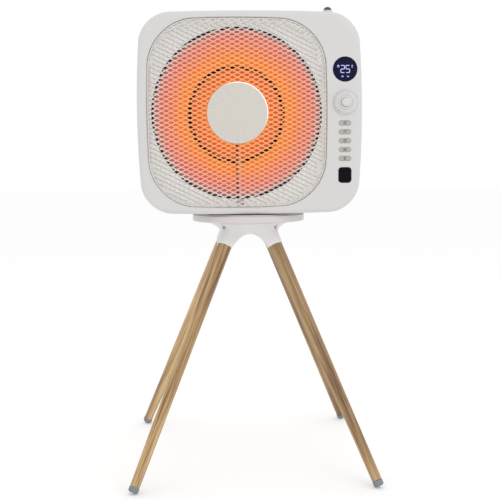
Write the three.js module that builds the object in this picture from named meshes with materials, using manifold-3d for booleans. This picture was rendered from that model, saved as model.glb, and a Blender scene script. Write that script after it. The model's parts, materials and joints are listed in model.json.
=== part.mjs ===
// Ceramic space heater on four wooden legs: a dish heater with a fan behind it, in a
// rounded-square head that swings on a low turntable.
// Millimetres, +Z up, front towards -Y, origin on the floor below the swivel axis.

import * as THREE from 'three';
import { mergeVertices } from 'three/addons/utils/BufferGeometryUtils.js';
import Module from 'manifold-3d';

const wasm = await Module();
wasm.setup();

// ---------- driving dimensions ----------

const gap = 0.3; // between pieces that rest on or in each other
const slip = 0.5; // between pieces that move past each other
const sides = { fine: 32, round: 16, small: 8 }; // facets of large, middling and small rounds
const far = 1000; // reach of the blocks that clip a shape

const stand = {
  footReach: 199, // swivel axis to a foot's centre, along X and along Y
  mouthReach: 44, // the same at a socket's mouth
  mouthHeight: 379, // floor to a socket's mouth, on the leg's axis
  hubTop: 421, // floor to the hub's top
};
const leg = {
  topDiameter: 24.5,
  bottomDiameter: 16.4,
  tenonDiameter: 18,
  tenonLength: 36,
  spigotDiameter: 11,
  spigotLength: 8,
};
const footCap = { diameter: 17.6, height: 13 };
const legScrew = {
  headDiameter: 6,
  headHeight: 2,
  shankDiameter: 3,
  depth: 16,
  along: 28,
  seat: 1,
  access: 30,
};
const hub = { flangeDiameter: 139, depth: 21, waistDiameter: 66, lip: 3.5, socketDiameter: 27.5, flare: 5 };
const hubScrew = {
  headDiameter: 8,
  headHeight: 3,
  shankDiameter: 4,
  grip: 5,
  bite: 7,
  reach: 46,
  access: 60,
};
const turntable = { diameter: 196, thickness: 11.7, edge: 2, rim: 2.2, rimInset: 4.5, rimWidth: 5 };
const bearing = { outerDiameter: 172, width: 14, thickness: 3.2 };
const sleeve = { outerDiameter: 34, wall: 5, flangeDiameter: 64, flange: 2.4, height: 25 };
const gear = { module: 2, teeth: 36, pinionTeeth: 12, addendum: 1.6, dedendum: 2.3, thickness: 6 };
const gearAngle = { pressure: Math.PI / 8, backlash: 0.25 };
const pivotNut = { diameter: 48, height: 6 };
const pinion = { stubDiameter: 5, stubLength: 10 };
const swivelMotor = {
  diameter: 34,
  height: 25,
  plate: 2,
  legSpread: 52,
  legWidth: 6,
  legDepth: 16,
  toGear: 2,
};
const basePlate = { width: 150, depth: 90, corner: 12, thickness: 2, lift: 1.6, toGear: 2 };
const tipSwitch = { width: 24, depth: 16, height: 20, offset: [-58, -18] };

const head = {
  side: 16.5, // opening to the head's left side
  rail: 12, // opening to the head's top, and to its bottom
  column: 59.5, // opening to the head's right side, where the controls are
  forward: 95, // swivel axis to the front face
  rearward: 80, // swivel axis to the back face
  corner: 47,
  bowSide: 8,
  bowTop: 4,
  frontRound: 9,
  rearRound: 34,
  wall: 2.6,
  split: 35, // front face to the joint between bezel and casing
};
const caseScrew = {
  inset: 30,
  headDiameter: 8,
  headHeight: 3,
  shankDiameter: 4,
  post: 13,
  bite: 14,
  web: 5,
};
const opening = { bandX: 11, bandZ: 17.5, corner: 70, bow: 6 }; // bands run from the dish's rim to its edge
const grille = { crown: 11, sheet: 2, flange: 3.5, cellWidth: 60, cellHeight: 40, strand: 5, boss: 24 };
const pillowPower = 3.8; // roundness of the grille's pillow: 2 is an ellipse, more is squarer
const centreDisc = { diameter: 101, thickness: 2.6, spigotDiameter: 8, standOff: 1 };
const discNut = { diameter: 18, thickness: 3 };

const baffle = { setback: 15, thickness: 1.5, overlap: 7, ringGap: 3, post: 10, postOut: 22.3 };
const dish = { diameter: 275, throatDiameter: 164, depth: 36, thickness: 1.2, slotWidth: 4 };
const core = { ringGap: 4.5, holeDiameter: 49, depth: 10 };
const spider = { setback: 61, thickness: 2, hubDiameter: 70, armWidth: 12, pad: 8 };
const bobbin = { diameter: 36, endDiameter: 45, baseDiameter: 47, length: 51.5, base: 6, end: 6 };
const coil = { turns: 4, wire: 2.6, length: 28, standOff: 1.3 };
const stay = { rodDiameter: 3.2, offset: 4, clip: 4, foot: 12 };
const cutout = { diameter: 16, height: 6, reach: 60 };

const fan = { diameter: 224, hubDiameter: 44, hubLength: 26, blades: 7, blade: 2, pitch: Math.PI / 6 };
const fanShaft = { diameter: 6, length: 52 };
const fanMotor = { diameter: 72, length: 30 };
const motorBracket = {
  setback: 118.5,
  thickness: 2,
  width: 30,
  reach: 105,
  boss: 12,
  toFan: 8,
  holeMargin: 10,
  bossMargin: 8,
};
const vent = { rows: 9, pitch: 21, height: 7, rib: 12 };

const board = { setback: 12.3, width: 43, thickness: 1.6, above: 26, below: 19, switchSize: 6 };
const display = { diameter: 40, lens: 2, moduleDiameter: 37, above: 71, toDial: 54.5, proud: 0.8 };
const dial = {
  diameter: 39,
  crownDiameter: 21,
  rim: 2.5,
  proud: 9,
  toKeys: 33.5,
  neckDiameter: 20,
  neckLength: 5,
};
const centreButton = { diameter: 14.5, proud: 16, tail: 3.8 };
const encoder = { size: 26, thickness: 5 };
const pill = { count: 5, width: 21.8, height: 8.5, pitch: 14.6, toSensor: 27.6, proud: 1.2, flange: 1 };
const pillTravel = 0.8;
const sensor = { width: 21, height: 25, corner: 5, thickness: 4.6, proud: 0.6 };
const topButton = {
  diameter: 13,
  proud: 14,
  travel: 1.5,
  inset: 52.5,
  behindSplit: 12,
  flange: 2,
  play: 1,
};
const gland = {
  diameter: 12,
  flangeDiameter: 19,
  flange: 4,
  barrel: 10,
  bore: 7,
  insetX: 66.5,
  insetZ: 48,
};
const powerBoard = { thickness: 1.6, depth: 80, height: 130, inset: 36, lift: 42, blocks: 18 };

// ---------- places worked out from them ----------

const openingWidth = dish.diameter + 2 * opening.bandX;
const openingHeight = dish.diameter + 2 * opening.bandZ;
const headWidth = openingWidth + head.side + head.column;
const headHeight = openingHeight + 2 * head.rail;
const legDirection = legAxis();
const turntableTop = stand.hubTop + gap + turntable.thickness;
const headBottom = turntableTop + gap + bearing.thickness + gap;
const headZ = headBottom + headHeight / 2;
const frontY = -head.forward;
const backY = head.rearward;
const splitY = frontY + head.split;
const innerFrontY = frontY + head.wall;
const dishX = -headWidth / 2 + head.side + openingWidth / 2;
const dishRimY = frontY + baffle.setback + baffle.thickness;
const controlX = (headWidth - head.column) / 2;
const boardY = frontY + board.setback;
const spiderY = frontY + spider.setback;
const basePlateBottom = headBottom + head.wall + basePlate.lift;
const basePlateTop = basePlateBottom + basePlate.thickness;
const gearBottom = basePlateTop + basePlate.toGear;
const gearDistance = (gear.module * (gear.teeth + gear.pinionTeeth)) / 2;
const bracketY = frontY + motorBracket.setback;
const pillowEdgeY = frontY + grille.sheet;
const pillowApexY = pillowEdgeY - grille.crown;
const baffleHole = dish.diameter + 2 * baffle.ringGap;
const bafflePostReach = (dish.diameter / 2 + baffle.postOut) / Math.SQRT2;
const coreDiameter = dish.throatDiameter - 2 * core.ringGap;
const topButtonAt = [headWidth / 2 - topButton.inset, splitY + topButton.behindSplit];
const glandAt = [headWidth / 2 - gland.insetX, headBottom + gland.insetZ];
const displayAt = [controlX, headZ + display.above];
const dialAt = [controlX, displayAt[1] - display.toDial];
const firstKeyZ = dialAt[1] - dial.toKeys;
const sensorAt = [controlX, firstKeyZ - (pill.count - 1) * pill.pitch - pill.toSensor];

const finishes = {
  casing: new THREE.MeshStandardMaterial({ color: 0xdcdad9, roughness: 0.45, metalness: 0 }),
  grille: new THREE.MeshStandardMaterial({ color: 0xe0dfdb, roughness: 0.5, metalness: 0.1 }),
  disc: new THREE.MeshStandardMaterial({ color: 0xd4d0c8, roughness: 0.35, metalness: 0.4 }),
  button: new THREE.MeshStandardMaterial({ color: 0xbebcb6, roughness: 0.5, metalness: 0 }),
  glow: new THREE.MeshStandardMaterial({ color: 0xffa048, roughness: 0.3, metalness: 0.7 }),
  ceramic: new THREE.MeshStandardMaterial({ color: 0xece4d4, roughness: 0.7, metalness: 0 }),
  hot: new THREE.MeshStandardMaterial({ color: 0xff7a2c, roughness: 0.5, metalness: 0.6 }),
  steel: new THREE.MeshStandardMaterial({ color: 0xb4b6b8, roughness: 0.35, metalness: 0.9 }),
  black: new THREE.MeshStandardMaterial({ color: 0x131317, roughness: 0.25, metalness: 0 }),
  display: new THREE.MeshStandardMaterial({ color: 0x14163c, roughness: 0.15, metalness: 0 }),
  dark: new THREE.MeshStandardMaterial({ color: 0x55565a, roughness: 0.6, metalness: 0 }),
  board: new THREE.MeshStandardMaterial({ color: 0x2c6b45, roughness: 0.6, metalness: 0 }),
  nylon: new THREE.MeshStandardMaterial({ color: 0x8c7672, roughness: 0.6, metalness: 0 }),
  wood: new THREE.MeshStandardMaterial({ color: 0xb08c5f, roughness: 0.6, metalness: 0 }),
  rubber: new THREE.MeshStandardMaterial({ color: 0x969ba5, roughness: 0.8, metalness: 0 }),
};

// ---------- geometry and solids ----------

// The unit direction up a leg, from its foot to its socket, for the front right leg.
function legAxis() {
  const inward = stand.mouthReach - stand.footReach;
  return new THREE.Vector3(inward, -inward, stand.mouthHeight).normalize();
}

// Welds a geometry into one solid whose faces point outwards.
function solid(shape) {
  if (!shape.isBufferGeometry) return shape;
  const bare = shape.clone();
  bare.deleteAttribute('normal');
  bare.deleteAttribute('uv');
  const welded = mergeVertices(bare, 1e-4);
  const points = welded.attributes.position.array;
  const triangles = [];
  for (let i = 0; i < welded.index.count; i += 3) {
    const corners = [0, 1, 2].map((k) => welded.index.getX(i + k));
    if (new Set(corners).size === 3) triangles.push(...corners);
  }
  if (signedVolume(points, triangles) < 0) triangles.reverse();
  const triVerts = Uint32Array.from(triangles);
  return new wasm.Manifold(new wasm.Mesh({ numProp: 3, vertProperties: points, triVerts }));
}

function signedVolume(points, triangles) {
  const corner = (k) => new THREE.Vector3().fromArray(points, 3 * triangles[k]);
  let volume = 0;
  for (let i = 0; i < triangles.length; i += 3) {
    volume += corner(i).dot(corner(i + 1).cross(corner(i + 2))) / 6;
  }
  return volume;
}

function join(...shapes) {
  return shapes.map(solid).reduce((all, next) => all.add(next));
}

function cut(shape, ...tools) {
  return tools.map(solid).reduce((all, next) => all.subtract(next), solid(shape));
}

function common(shape, other) {
  return solid(shape).intersect(solid(other));
}

// A named node from a solid.
function piece(name, finish, shape) {
  const { vertProperties, triVerts } = solid(shape).getMesh();
  const geometry = new THREE.BufferGeometry();
  geometry.setAttribute('position', new THREE.BufferAttribute(vertProperties, 3));
  geometry.setIndex(new THREE.BufferAttribute(triVerts, 1));
  geometry.computeVertexNormals();
  const mesh = new THREE.Mesh(geometry, finish);
  mesh.name = name;
  return mesh;
}

function groupOf(...members) {
  const group = new THREE.Group();
  group.add(...members.flat());
  return group;
}

// A profile of [radius, height] points turned about the Y axis through [x, z].
function turnedY(profile, count, [x, z] = [0, 0]) {
  const points = profile.map(([r, y]) => new THREE.Vector2(r, y));
  return new THREE.LatheGeometry(points, count).translate(x, 0, z);
}

// The same profile turned about the Z axis through [x, y].
function turnedZ(profile, count, [x, y] = [0, 0]) {
  return turnedY(profile, count).rotateX(Math.PI / 2).translate(x, y, 0);
}

function drumProfile(diameter, low, high) {
  return [[0, low], [diameter / 2, low], [diameter / 2, high], [0, high]];
}

function drumY(diameter, low, high, count, centre) {
  return turnedY(drumProfile(diameter, low, high), count, centre);
}

function drumZ(diameter, low, high, count, centre) {
  return turnedZ(drumProfile(diameter, low, high), count, centre);
}

function ringProfile(inner, outer, low, high) {
  const [a, b] = [inner / 2, outer / 2];
  return [[a, low], [b, low], [b, high], [a, high], [a, low]];
}

function ringY(inner, outer, low, high, count, centre) {
  return turnedY(ringProfile(inner, outer, low, high), count, centre);
}

function ringZ(inner, outer, low, high, count, centre) {
  return turnedZ(ringProfile(inner, outer, low, high), count, centre);
}

function block([x0, x1], [y0, y1], [z0, z1]) {
  const box = new THREE.BoxGeometry(x1 - x0, y1 - y0, z1 - z0);
  return box.translate((x0 + x1) / 2, (y0 + y1) / 2, (z0 + z1) / 2);
}

function circle(radius, [cx, cy], count) {
  return Array.from({ length: count }, (_, i) => {
    const angle = (2 * Math.PI * i) / count;
    return new THREE.Vector2(cx + radius * Math.cos(angle), cy + radius * Math.sin(angle));
  });
}

// A point list as a shape with holes.
function shapeOf(outline, holes = []) {
  const shape = new THREE.Shape(outline);
  shape.holes = holes.map((hole) => new THREE.Path(hole));
  return shape;
}

// An outline in X and Z, extruded from one y to another.
function slabY(outline, front, back, holes) {
  const options = { depth: back - front, bevelEnabled: false };
  const slab = new THREE.ExtrudeGeometry(shapeOf(outline, holes), options);
  return slab.rotateX(Math.PI / 2).translate(0, back, 0);
}

// The same with both edges rounded.
function softSlabY(outline, front, back, radius, steps) {
  const options = {
    depth: back - front - 2 * radius,
    bevelThickness: radius,
    bevelSize: radius,
    bevelOffset: -radius,
    bevelSegments: steps,
  };
  const slab = new THREE.ExtrudeGeometry(shapeOf(outline), options);
  return slab.rotateX(Math.PI / 2).translate(0, back - radius, 0);
}

// An outline in X and Y, extruded from one z to another.
function slabZ(outline, low, high, holes) {
  const options = { depth: high - low, bevelEnabled: false };
  return new THREE.ExtrudeGeometry(shapeOf(outline, holes), options).translate(0, 0, low);
}

// A rounded rectangle whose sides bow outwards; grow offsets it.
function bowedOutline({ width, height, corner, bowX, bowY }, grow, [cx, cy], steps = 5) {
  const halfWidth = width / 2 - bowX + grow;
  const halfHeight = height / 2 - bowY + grow;
  const radius = corner + grow;
  const points = [];
  for (let quarter = 0; quarter < 4; quarter += 1) {
    const signX = quarter === 0 || quarter === 3 ? 1 : -1;
    const signY = quarter < 2 ? 1 : -1;
    for (let i = 0; i <= steps; i += 1) {
      const angle = (Math.PI / 2) * (quarter + i / steps);
      const x = signX * (halfWidth - radius) + radius * Math.cos(angle);
      const y = signY * (halfHeight - radius) + radius * Math.sin(angle);
      points.push([x, y]);
    }
    const [fromX, fromY] = points.at(-1);
    const across = quarter % 2 === 0;
    for (let i = 1; i < 4; i += 1) {
      const along = 1 - i / 2;
      points.push([across ? fromX * along : fromX, across ? fromY : fromY * along]);
    }
  }
  return points.map(([x, y]) => {
    const bowedX = x * (1 + (bowX / halfWidth) * (1 - (y / halfHeight) ** 2));
    const bowedY = y * (1 + (bowY / halfHeight) * (1 - (x / halfWidth) ** 2));
    return new THREE.Vector2(cx + bowedX, cy + bowedY);
  });
}

function headOutline(grow) {
  const size = { width: headWidth, height: headHeight, corner: head.corner };
  return bowedOutline({ ...size, bowX: head.bowSide, bowY: head.bowTop }, grow, [0, headZ]);
}

function openingOutline(grow) {
  const size = { width: openingWidth, height: openingHeight, corner: opening.corner };
  return bowedOutline({ ...size, bowX: opening.bow, bowY: opening.bow }, grow, [dishX, headZ]);
}

function roundedRectangle(width, height, corner, grow, centre) {
  return bowedOutline({ width, height, corner, bowX: 0, bowY: 0 }, grow, centre, 3);
}

// ---------- stand ----------

const legNames = ['front_right', 'rear_right', 'rear_left', 'front_left'];
const mouthDistance = stand.mouthHeight / legDirection.z;
const tilt = new THREE.Quaternion().setFromUnitVectors(new THREE.Vector3(0, 0, 1), legDirection);

// Places a shape that was made up the Z axis onto the front right leg's axis.
function onLeg(geometry) {
  geometry.applyQuaternion(tilt);
  return geometry.translate(stand.footReach, -stand.footReach, 0);
}

function legRadius(distance) {
  const share = distance / mouthDistance;
  return THREE.MathUtils.lerp(leg.bottomDiameter, leg.topDiameter, share) / 2;
}

function woodenLeg() {
  const shoulder = mouthDistance - gap;
  const capTop = footCap.height + gap;
  const spigot = leg.spigotDiameter / 2;
  const tenon = leg.tenonDiameter / 2;
  return onLeg(turnedZ([
    [0, capTop - leg.spigotLength],
    [spigot, capTop - leg.spigotLength],
    [spigot, capTop],
    [legRadius(capTop), capTop],
    [legRadius(shoulder), shoulder],
    [tenon, shoulder],
    [tenon, shoulder + leg.tenonLength],
    [0, shoulder + leg.tenonLength],
  ], sides.round));
}

// A cup on the leg's end, cut level with the floor.
function capOnLeg() {
  const bore = leg.spigotDiameter + 2 * gap;
  const cup = onLeg(drumZ(footCap.diameter, -footCap.height, footCap.height, sides.round));
  const seat = onLeg(drumZ(bore, footCap.height - leg.spigotLength - gap, far, sides.round));
  return cut(common(cup, block([-far, far], [-far, far], [0, far])), seat);
}

// A socket's round body, wider towards the flange.
function socketBody() {
  const radius = hub.socketDiameter / 2;
  const top = mouthDistance + (stand.hubTop - stand.mouthHeight) / legDirection.z;
  return onLeg(turnedZ([
    [0, mouthDistance],
    [radius, mouthDistance],
    [radius + hub.flare * 0.4, (mouthDistance + top) / 2],
    [radius + hub.flare, top],
    [0, top],
  ], sides.round));
}

function tenonBore() {
  const bore = leg.tenonDiameter + 2 * gap;
  return onLeg(drumZ(bore, mouthDistance - 1, mouthDistance + leg.tenonLength + gap, sides.round));
}

// A screw square to the leg's axis, from the outside of the socket into the tenon.
function acrossLeg(geometry) {
  geometry.rotateY(Math.PI / 2).rotateZ(-Math.PI / 4);
  return onLegTurned(geometry);
}

function onLegTurned(geometry) {
  const outward = new THREE.Vector3(1, -1, 0).normalize();
  const lean = Math.asin(Math.hypot(legDirection.x, legDirection.y));
  const turn = new THREE.Quaternion().setFromAxisAngle(outward.cross(new THREE.Vector3(0, 0, 1)), lean);
  geometry.applyQuaternion(turn);
  const at = legDirection.clone().multiplyScalar(mouthDistance + legScrew.along);
  return geometry.translate(stand.footReach + at.x, -stand.footReach + at.y, at.z);
}

const screwSeat = hub.socketDiameter / 2 + legScrew.seat;

function legScrewBody() {
  const shank = legScrew.shankDiameter / 2;
  return acrossLeg(turnedZ([
    [0, screwSeat - legScrew.depth],
    [shank, screwSeat - legScrew.depth],
    [shank, screwSeat],
    [legScrew.headDiameter / 2, screwSeat],
    [legScrew.headDiameter / 2 - 1, screwSeat + legScrew.headHeight],
    [0, screwSeat + legScrew.headHeight],
  ], sides.small));
}

function legScrewClearance() {
  const shank = legScrew.shankDiameter / 2 + gap;
  const headRadius = legScrew.headDiameter / 2 + gap;
  return acrossLeg(turnedZ([
    [0, screwSeat - legScrew.depth - gap],
    [shank, screwSeat - legScrew.depth - gap],
    [shank, screwSeat - gap],
    [headRadius, screwSeat - gap],
    [headRadius, screwSeat + legScrew.access],
    [0, screwSeat + legScrew.access],
  ], sides.small));
}

function aroundStand(make) {
  return legNames.map((_, k) => make().rotateZ((k * Math.PI) / 2));
}

// A round flange that sweeps down into the four sockets.
function hubFlange() {
  const outer = hub.flangeDiameter / 2;
  const waist = hub.waistDiameter / 2;
  const bottom = stand.hubTop - hub.depth;
  const profile = [[0, bottom]];
  for (let i = 0; i <= 3; i += 1) {
    const t = i / 3;
    profile.push([waist + (outer - waist) * t ** 1.4, bottom + (hub.depth - hub.lip) * t]);
  }
  profile.push([outer, stand.hubTop - 1], [outer - 1, stand.hubTop], [0, stand.hubTop]);
  return turnedZ(profile, sides.fine);
}

const hubScrewPlaces = [[-hubScrew.reach, 0], [hubScrew.reach, 0]];
const hubScrewSeat = stand.hubTop - hubScrew.grip;

function hubScrewBody([x, y]) {
  const head0 = hubScrewSeat - hubScrew.headHeight;
  const tip = stand.hubTop + gap + hubScrew.bite;
  return join(
    drumZ(hubScrew.headDiameter, head0, hubScrewSeat, sides.small, [x, y]),
    drumZ(hubScrew.shankDiameter, hubScrewSeat - 1, tip, sides.small, [x, y]),
  );
}

function hubScrewClearance([x, y]) {
  const low = stand.hubTop - hubScrew.access;
  const tip = stand.hubTop + 2 * gap + hubScrew.bite;
  return join(
    drumZ(hubScrew.headDiameter + 2 * gap, low, hubScrewSeat + gap, sides.small, [x, y]),
    drumZ(hubScrew.shankDiameter + 2 * gap, hubScrewSeat, tip, sides.small, [x, y]),
  );
}

function hubBody() {
  const above = block([-far, far], [-far, far], [stand.hubTop, far]);
  const body = cut(join(hubFlange(), ...aroundStand(socketBody)), above);
  return cut(
    body,
    ...aroundStand(tenonBore),
    ...aroundStand(legScrewClearance),
    ...hubScrewPlaces.map(hubScrewClearance),
  );
}

function turntableDisc() {
  const radius = turntable.diameter / 2;
  const bottom = stand.hubTop + gap;
  const { edge } = turntable;
  const rimOuter = radius - turntable.rimInset;
  const rimInner = rimOuter - turntable.rimWidth;
  const disc = turnedZ([
    [0, bottom],
    [radius - edge, bottom],
    [radius - edge * 0.3, bottom + edge * 0.3],
    [radius, bottom + edge],
    [radius, turntableTop - 1],
    [radius - 1, turntableTop],
    [rimOuter, turntableTop],
    [rimOuter, turntableTop + turntable.rim],
    [rimInner, turntableTop + turntable.rim],
    [rimInner, turntableTop],
    [0, turntableTop],
  ], sides.fine);
  return cut(disc, ...hubScrewPlaces.map(hubScrewClearance));
}

function bearingRing() {
  const low = turntableTop + gap;
  const inner = bearing.outerDiameter - 2 * bearing.width;
  return ringZ(inner, bearing.outerDiameter, low, low + bearing.thickness, sides.fine);
}

function pivotSleeve() {
  const low = turntableTop + gap;
  const outer = sleeve.outerDiameter / 2;
  const inner = outer - sleeve.wall;
  return turnedZ([
    [inner, low],
    [sleeve.flangeDiameter / 2, low],
    [sleeve.flangeDiameter / 2, low + sleeve.flange],
    [outer, low + sleeve.flange],
    [outer, low + sleeve.height],
    [inner, low + sleeve.height],
    [inner, low],
  ], sides.round);
}

function pivotNutBody() {
  const low = gearBottom + gear.thickness + gap;
  const bore = circle(sleeve.outerDiameter / 2 + gap, [0, 0], sides.round);
  return slabZ(circle(pivotNut.diameter / 2, [0, 0], 6), low, low + pivotNut.height, [bore]);
}

function standPieces() {
  const legs = legNames.map((name, k) => {
    const group = groupOf(
      piece(`leg_${name}`, finishes.wood, cut(woodenLeg(), legScrewClearance())),
      piece(`foot_cap_${name}`, finishes.rubber, capOnLeg()),
      piece(`leg_screw_${name}`, finishes.steel, legScrewBody()),
    );
    group.rotation.z = (k * Math.PI) / 2;
    return group;
  });
  return groupOf(
    legs,
    piece('leg_hub', finishes.casing, hubBody()),
    hubScrewPlaces.map((place, i) => piece(`hub_screw_${i + 1}`, finishes.steel, hubScrewBody(place))),
    piece('turntable_disc', finishes.casing, turntableDisc()),
    piece('bearing_ring', finishes.nylon, bearingRing()),
    piece('pivot_sleeve', finishes.steel, pivotSleeve()),
    piece('swivel_gear', finishes.nylon, swivelGear()),
    piece('pivot_nut', finishes.steel, pivotNutBody()),
  );
}

// ---------- swivel drive ----------

// Involute flanks between the root and the tip circle, with one tooth centred on a phase.
function gearOutline(teeth, phase, [cx, cy]) {
  const pitch = (gear.module * teeth) / 2;
  const base = pitch * Math.cos(gearAngle.pressure);
  const tip = pitch + gear.addendum;
  const root = pitch - gear.dedendum;
  const involute = (angle) => Math.tan(angle) - angle;
  const atPitch = Math.PI / (2 * teeth) - gearAngle.backlash / (2 * pitch);
  const half = (r) => {
    const angle = Math.acos(Math.min(1, base / r));
    return atPitch + involute(gearAngle.pressure) - involute(angle);
  };
  const flank = [root, pitch, tip];
  const points = [];
  for (let tooth = 0; tooth < teeth; tooth += 1) {
    const centre = phase + (2 * Math.PI * tooth) / teeth;
    const rising = flank.map((r) => [r, centre - half(r)]);
    const falling = flank.map((r) => [r, centre + half(r)]).reverse();
    for (const [r, angle] of [...rising, ...falling]) {
      points.push(new THREE.Vector2(cx + r * Math.cos(angle), cy + r * Math.sin(angle)));
    }
  }
  return points;
}

function swivelGear() {
  const outline = gearOutline(gear.teeth, 0, [0, 0]);
  const bore = circle(sleeve.outerDiameter / 2 + gap, [0, 0], sides.round);
  return slabZ(outline, gearBottom, gearBottom + gear.thickness, [bore]);
}

// The pinion's gap faces the gear's tooth; its stub runs up into the motor.
function swivelPinion() {
  const facing = Math.PI + Math.PI / gear.pinionTeeth;
  const centre = [gearDistance, 0];
  const top = gearBottom + gear.thickness;
  return join(
    slabZ(gearOutline(gear.pinionTeeth, facing, centre), gearBottom, top),
    drumZ(pinion.stubDiameter, top - 1, top + pinion.stubLength, sides.small, centre),
  );
}

function swivelMotorBody() {
  const low = gearBottom + gear.thickness + swivelMotor.toGear;
  const reach = swivelMotor.legSpread / 2;
  const half = swivelMotor.legWidth / 2;
  const centre = [gearDistance, 0];
  const wide = [gearDistance - swivelMotor.legDepth / 2, gearDistance + swivelMotor.legDepth / 2];
  const body = join(
    drumZ(swivelMotor.diameter, low, low + swivelMotor.height, sides.round, centre),
    block(wide, [-reach - half, reach + half], [low, low + swivelMotor.plate]),
    block(wide, [-reach - half, -reach + half], [basePlateTop + gap, low + 1]),
    block(wide, [reach - half, reach + half], [basePlateTop + gap, low + 1]),
  );
  const bore = pinion.stubDiameter + 2 * slip;
  const stubTop = gearBottom + gear.thickness + pinion.stubLength;
  return cut(body, drumZ(bore, low - 1, stubTop + 1, sides.small, centre));
}

function basePlateBody() {
  const plate = roundedRectangle(basePlate.width, basePlate.depth, basePlate.corner, 0, [0, 0]);
  const hole = circle(sleeve.outerDiameter / 2 + slip, [0, 0], sides.round);
  return slabZ(plate, basePlateBottom, basePlateTop, [hole]);
}

function tipSwitchBody() {
  const [x, y] = tipSwitch.offset;
  const low = basePlateTop + gap;
  const { width, depth, height } = tipSwitch;
  return block([x - width / 2, x + width / 2], [y - depth / 2, y + depth / 2], [low, low + height]);
}

function drivePieces() {
  return groupOf(
    piece('base_plate', finishes.steel, basePlateBody()),
    piece('swivel_motor', finishes.steel, swivelMotorBody()),
    piece('swivel_pinion', finishes.nylon, swivelPinion()),
    piece('tip_over_switch', finishes.dark, tipSwitchBody()),
  );
}

// ---------- casing ----------

function screwPlaces() {
  const x = headWidth / 2 - caseScrew.inset;
  const z = headHeight / 2 - caseScrew.inset;
  return [[x, headZ + z], [x, headZ - z], [-x, headZ - z], [-x, headZ + z]];
}

// Clearance round the bezel's screw posts, for the sheets that lie behind its face.
function postNotches() {
  return screwPlaces().map((at) => drumY(caseScrew.post + 2 * slip, -far, 0, sides.small, at));
}

function controlHoles() {
  const from = frontY - 1;
  const to = innerFrontY + 1;
  const pillHole = (z) => roundedRectangle(pill.width, pill.height, pill.height / 2, slip, [controlX, z]);
  const windowHole = roundedRectangle(sensor.width, sensor.height, sensor.corner, gap, sensorAt);
  return [
    drumY(display.diameter + 2 * gap, from, to, sides.round, displayAt),
    drumY(dial.neckDiameter + 2 * slip, from, to, sides.round, dialAt),
    ...pillHeights().map((z) => slabY(pillHole(z), from, to)),
    slabY(windowHole, from, to),
  ];
}

function frontBezel() {
  const steps = 3;
  const shell = softSlabY(headOutline(0), frontY, frontY + head.split * 3, head.frontRound, steps);
  const innerRound = head.frontRound - head.wall;
  const hollow = softSlabY(headOutline(-head.wall), innerFrontY, far, innerRound, steps);
  const beyond = block([-far, far], [splitY - gap / 2, far], [-far, far]);
  const tip = splitY - caseScrew.bite;
  const posts = screwPlaces().map((at) => {
    return drumY(caseScrew.post, innerFrontY - 1, splitY - gap, sides.small, at);
  });
  const holes = screwPlaces().map((at) => drumY(caseScrew.shankDiameter + 2 * gap, tip, 0, sides.small, at));
  const window = slabY(openingOutline(0), frontY - 1, innerFrontY + 1);
  const body = join(cut(shell, hollow, beyond), ...posts);
  return cut(body, ...holes, window, ...controlHoles());
}

// Slots across the back, split by a rib down the middle and bounded by a circle.
function ventSlots() {
  const slots = [];
  for (let row = 0; row < vent.rows; row += 1) {
    const z = (row - (vent.rows - 1) / 2) * vent.pitch;
    const reach = Math.sqrt((fan.diameter / 2) ** 2 - z ** 2);
    const tall = [headZ + z - vent.height / 2, headZ + z + vent.height / 2];
    const through = [backY - head.wall - 1, backY + 1];
    slots.push(block([dishX - reach, dishX - vent.rib / 2], through, tall));
    slots.push(block([dishX + vent.rib / 2, dishX + reach], through, tall));
  }
  return slots;
}

function rearCasing() {
  const steps = 3;
  const shell = softSlabY(headOutline(0), splitY - 2 * head.rearRound, backY, head.rearRound, steps);
  const behind = block([-far, far], [splitY + gap / 2, far], [-far, far]);
  const outer = common(shell, behind);
  const innerRound = head.rearRound - head.wall;
  const hollow = softSlabY(headOutline(-head.wall), -far, backY - head.wall, innerRound, steps);
  const posts = screwPlaces().map((at) => drumY(caseScrew.post, splitY + gap / 2, far, sides.small, at));
  const bosses = [-1, 1].map((side) => {
    const at = [dishX, headZ + side * motorBracket.reach];
    return drumY(motorBracket.boss, bracketY + motorBracket.thickness + gap, backY - 1, sides.small, at);
  });
  const body = join(cut(outer, hollow), ...[...posts, ...bosses].map((post) => common(post, outer)));
  const wells = screwPlaces().map((at) => {
    return drumY(caseScrew.headDiameter + 2 * gap, splitY + caseScrew.web, far, sides.small, at);
  });
  const holes = screwPlaces().map((at) => drumY(caseScrew.shankDiameter + 2 * gap, -far, 0, sides.small, at));
  const pivotHole = drumZ(sleeve.outerDiameter + 2 * slip, headBottom - 1, headBottom + 10, sides.round);
  const buttonHole = drumZ(topButton.diameter + 2 * slip, headZ, far, sides.small, topButtonAt);
  const glandHole = drumY(gland.diameter + 2 * gap, backY - 20, backY + 1, sides.round, glandAt);
  return cut(body, ...wells, ...holes, ...ventSlots(), pivotHole, buttonHole, glandHole);
}

function caseScrewBody(at) {
  const seat = splitY + caseScrew.web + gap;
  return join(
    drumY(caseScrew.headDiameter, seat, seat + caseScrew.headHeight, sides.small, at),
    drumY(caseScrew.shankDiameter, splitY - caseScrew.bite + gap, seat + 1, sides.small, at),
  );
}

function glandBody() {
  const [inner, barrel, flange] = [gland.bore / 2, gland.diameter / 2, gland.flangeDiameter / 2];
  const outside = backY + gap;
  return turnedY([
    [inner, backY - gland.barrel],
    [barrel, backY - gland.barrel],
    [barrel, outside],
    [flange, outside],
    [flange - 2, outside + gland.flange],
    [inner, outside + gland.flange],
    [inner, backY - gland.barrel],
  ], sides.round, glandAt);
}

// Height of the head's bowed top at a distance from its middle.
function topHeight(x) {
  const share = x / (headWidth / 2 - head.bowSide);
  return headBottom + headHeight - head.bowTop * share ** 2;
}

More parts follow.
